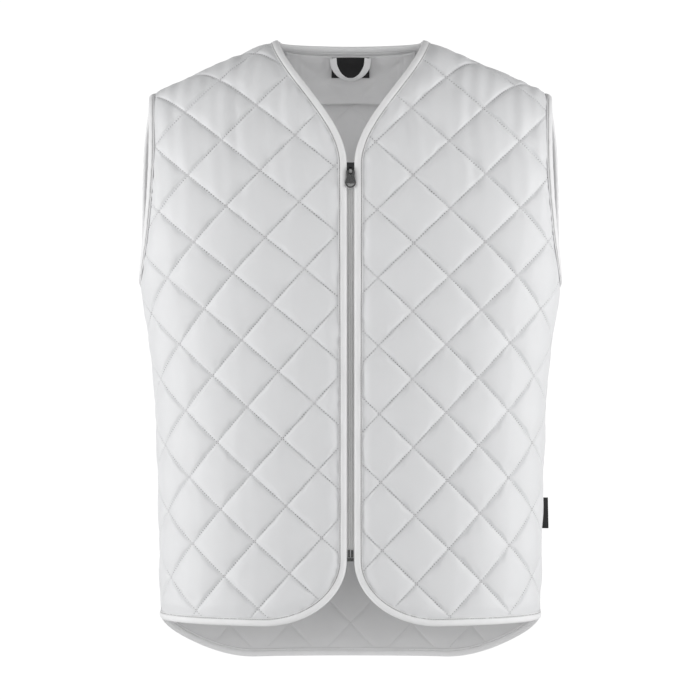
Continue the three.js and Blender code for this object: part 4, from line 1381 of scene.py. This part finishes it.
facing_bottom = float(back_half.height(0, FACING["bottom"]))
flat, quads = sheet_grid(FACING["half_width"], under_back_neck, facing_bottom, FACING_STEP)
below_top = under_back_neck(flat[:, 0]) - flat[:, 1]
edge_gap = np.minimum(FACING["half_width"] - np.abs(flat[:, 0]), below_top)
off_label = np.maximum(np.abs(flat[:, 0]) - LABEL_PATCH["half_width"], below_top - LABEL_PATCH["height"])
show = FACING_SWELL["height"] * pillow(QUILTS["back"], flat) * (edge_gap / FACING_SWELL["edge"]).clip(0, 1)
show *= (off_label / LABEL_PATCH["blend"]).clip(0, 1)
for side_step in (-FACING_RIBS["apart"] / 2, FACING_RIBS["apart"] / 2):
    off_rib = np.abs(flat[:, 0]) - FACING_RIBS["u"] - side_step
    show += FACING_RIBS["height"] * np.exp(-((off_rib / FACING_RIBS["width"]) ** 2))
above_hem = flat[:, 1] - facing_bottom
band = HEM_BAND["thickness"] * ((HEM_BAND["height"] - above_hem) / HEM_BAND["fold"]).clip(0, 1)
lift = HEM_BAND["lift"] * (1 - above_hem / HEM_BAND["lifted"]).clip(0, 1) ** 2
outer = FACING["outer"] + show + lift
inner = outer + FACING["thickness"] + band
sewn_patch("neck_facing", flat, quads, outer, inner, facing_cloth)

# %% [markdown]
# ### Label
#
# The label is a small sheet of black tape, pressed in along a seam near its edges and thinner at the rim.

# %% Label
LABEL = {"half_width": 22.3, "height": 27.0, "outer": 6.0, "thickness": 0.9}
LABEL_STEP = 1.2
LABEL_SEAM = {"depth": 0.25, "inset": 2.0, "width": 0.7}
LABEL_EDGE = {"depth": 0.35, "width": 0.9}

label_top = neck_line - SEWN_GAP
label_bottom = label_top - LABEL["height"]
flat, quads = sheet_grid(LABEL["half_width"], lambda u: np.full_like(u, label_top), label_bottom, LABEL_STEP)
below_top, above_bottom = label_top - flat[:, 1], flat[:, 1] - label_bottom
edge_gap = np.minimum.reduce([LABEL["half_width"] - np.abs(flat[:, 0]), below_top, above_bottom])
dent = LABEL_SEAM["depth"] * np.exp(-(((edge_gap - LABEL_SEAM["inset"]) / LABEL_SEAM["width"]) ** 2))
rounded = LABEL_EDGE["depth"] * (1 - (edge_gap / LABEL_EDGE["width"]).clip(0, 1))
outer = np.full(len(flat), LABEL["outer"])
inner = outer + LABEL["thickness"] - dent - rounded
sewn_patch("neck_label", flat, quads, outer, inner, black_cloth)

# %% [markdown]
# ### Loop
#
# A narrow tape runs from one upper corner of the label to the other. A smooth curve through a few knots gives
# its path, and its section turns about the path, so that the loop twists.

# %% Loop to hang the vest by
LOOP = {"tape": 8.0, "thickness": 1.0, "foot": 27, "outer": 8.3, "stand": 9, "twist": 72}
LOOP_LEG = [(21, 0), (19.5, 0.42), (12, 0.82)]
LOOP_STEPS = 60
LOOP_SIDES = 14
LOOP_SQUARING = {"wide": 0.5, "thick": 0.7}
KNOT_STEPS = 40


def loop_knot(x, share):
    flat = np.array([x, neck_line - LOOP["foot"] * share])
    return back_half.cloth(flat, -LOOP["outer"] - LOOP["stand"] * share)


def through(knots, count):
    """A smooth curve through a few knots, in even steps."""
    knots = np.array([2 * knots[0] - knots[1], *knots, 2 * knots[-1] - knots[-2]])
    curve = []
    for a, b, c, d in zip(knots, knots[1:], knots[2:], knots[3:]):
        t = np.linspace(0, 1, KNOT_STEPS, endpoint=False)[:, None]
        curve.append(b + 0.5 * t * (c - a + t * (2 * a - 5 * b + 4 * c - d + t * (3 * (b - c) + d - a))))
    curve = np.concatenate(curve + [knots[-2:-1]])
    lengths = run_along(curve)
    return at_places(curve, lengths, np.linspace(0, lengths[-1], count)), lengths[-1]


def squared(wave, power):
    """A sine or cosine wave with flatter tops."""
    return np.sign(wave) * np.abs(wave) ** power


leg = [loop_knot(-x, drop) for x, drop in LOOP_LEG]
other_leg = [loop_knot(x, drop) for x, drop in reversed(LOOP_LEG)]
centre, loop_length = through([*leg, loop_knot(0, 1), *other_leg], LOOP_STEPS + 1)
along = unit(np.gradient(centre, axis=0))
flat_way = unit(np.cross((0, 1, 0), along))
face_way = np.cross(along, flat_way)
share = np.linspace(0, 1, LOOP_STEPS + 1)
twist = (math.radians(LOOP["twist"]) * np.sin(math.pi * share) ** 2)[:, None]
wide = flat_way * np.cos(twist) + face_way * np.sin(twist)
thick = face_way * np.cos(twist) - flat_way * np.sin(twist)
round_angle = np.arange(LOOP_SIDES) * 2 * math.pi / LOOP_SIDES
across = squared(np.cos(round_angle), LOOP_SQUARING["wide"]) * LOOP["tape"] / 2
through_tape = squared(np.sin(round_angle), LOOP_SQUARING["thick"]) * LOOP["thickness"] / 2
rings = centre[:, None] + wide[:, None] * across[:, None] + thick[:, None] * through_tape[:, None]
points = rings.reshape(-1, 3)
faces = facing_out(points, swept(rings, capped=[list(range(LOOP_SIDES))]))
loop_flat = spread(share[:, None] * loop_length, across[None, :]).reshape(-1, 2)
piece("twisted_hanger_loop", points, faces, loop_flat, [binding_tape], ["hanger_loop"])
print(f"loop tape {LOOP['tape']} by {loop_length:.0f} mm")

# %% [markdown]
# ## Side tab
#
# A bit of black tape is folded over and caught in the left side seam. Its section is a hairpin: two plies
# that meet at the seam and a rounded fold that stands out from it.

# %% Side tab
TAB = {"reach": 9.3, "root": 0.8, "height": 36.0, "ply": 0.45, "gap": 0.2, "fold": 0.85}
TAB_PLACE = {"z": -550.5, "tilt": -1, "bend": 0.5, "bend_length": 11}
TAB_STEP = 2.0
SLIT_SHARE = 0.9
TabRow = namedtuple("TabRow", "share opening ply")
TAB_ROWS = [
    TabRow(0.0, 0, 1),
    TabRow(0.2, 0, 1),
    TabRow(0.4, 0, 1),
    TabRow(0.6, 0.3, 1),
    TabRow(0.76, 0.8, 1),
    TabRow(0.87, 1, 1),
    TabRow(0.95, 0.8, 0.75),
    TabRow(1.0, 0, 0),
]

tab_share, opening, ply = np.array(TAB_ROWS).T
tab_x = tab_share * (TAB["reach"] - TAB["root"]) + TAB["root"]
half_gap = TAB["gap"] / 2 + (TAB["fold"] - TAB["ply"] - TAB["gap"] / 2) * opening
outside = half_gap + TAB["ply"] * ply
pin_x = np.concatenate([tab_x, tab_x[-2::-1]])
pin_y = np.concatenate([outside, -outside[-2::-1]])
slit_x = np.minimum(pin_x, tab_x[-3])
slit_y = np.concatenate([half_gap, -half_gap[-2::-1]]) * SLIT_SHARE
hairpin = np.concatenate([np.stack([pin_x, pin_y], axis=-1), np.stack([slit_x, slit_y], axis=-1)[::-1]])
tab_rise = np.linspace(-TAB["height"] / 2, TAB["height"] / 2, round(TAB["height"] / TAB_STEP) + 1)
bend = TAB_PLACE["bend"] * np.sin(tab_rise / TAB_PLACE["bend_length"])
seam_x = section_column("half_width", np.array([TAB_PLACE["z"]]))[0]
lean = math.tan(math.radians(TAB_PLACE["tilt"]))
rings = spread(
    seam_x + hairpin[None, :, 0] + lean * tab_rise[:, None],
    hairpin[None, :, 1] + bend[:, None] * (hairpin[None, :, 0] / TAB["reach"]) ** 2,
    TAB_PLACE["z"] + tab_rise[:, None],
)
points = rings.reshape(-1, 3)
faces = facing_out(points, swept(rings, capped=end_quads(hairpin)))
tab = piece("folded_side_tab", points, faces, points[:, [0, 2]], [black_cloth], ["side_tab"])
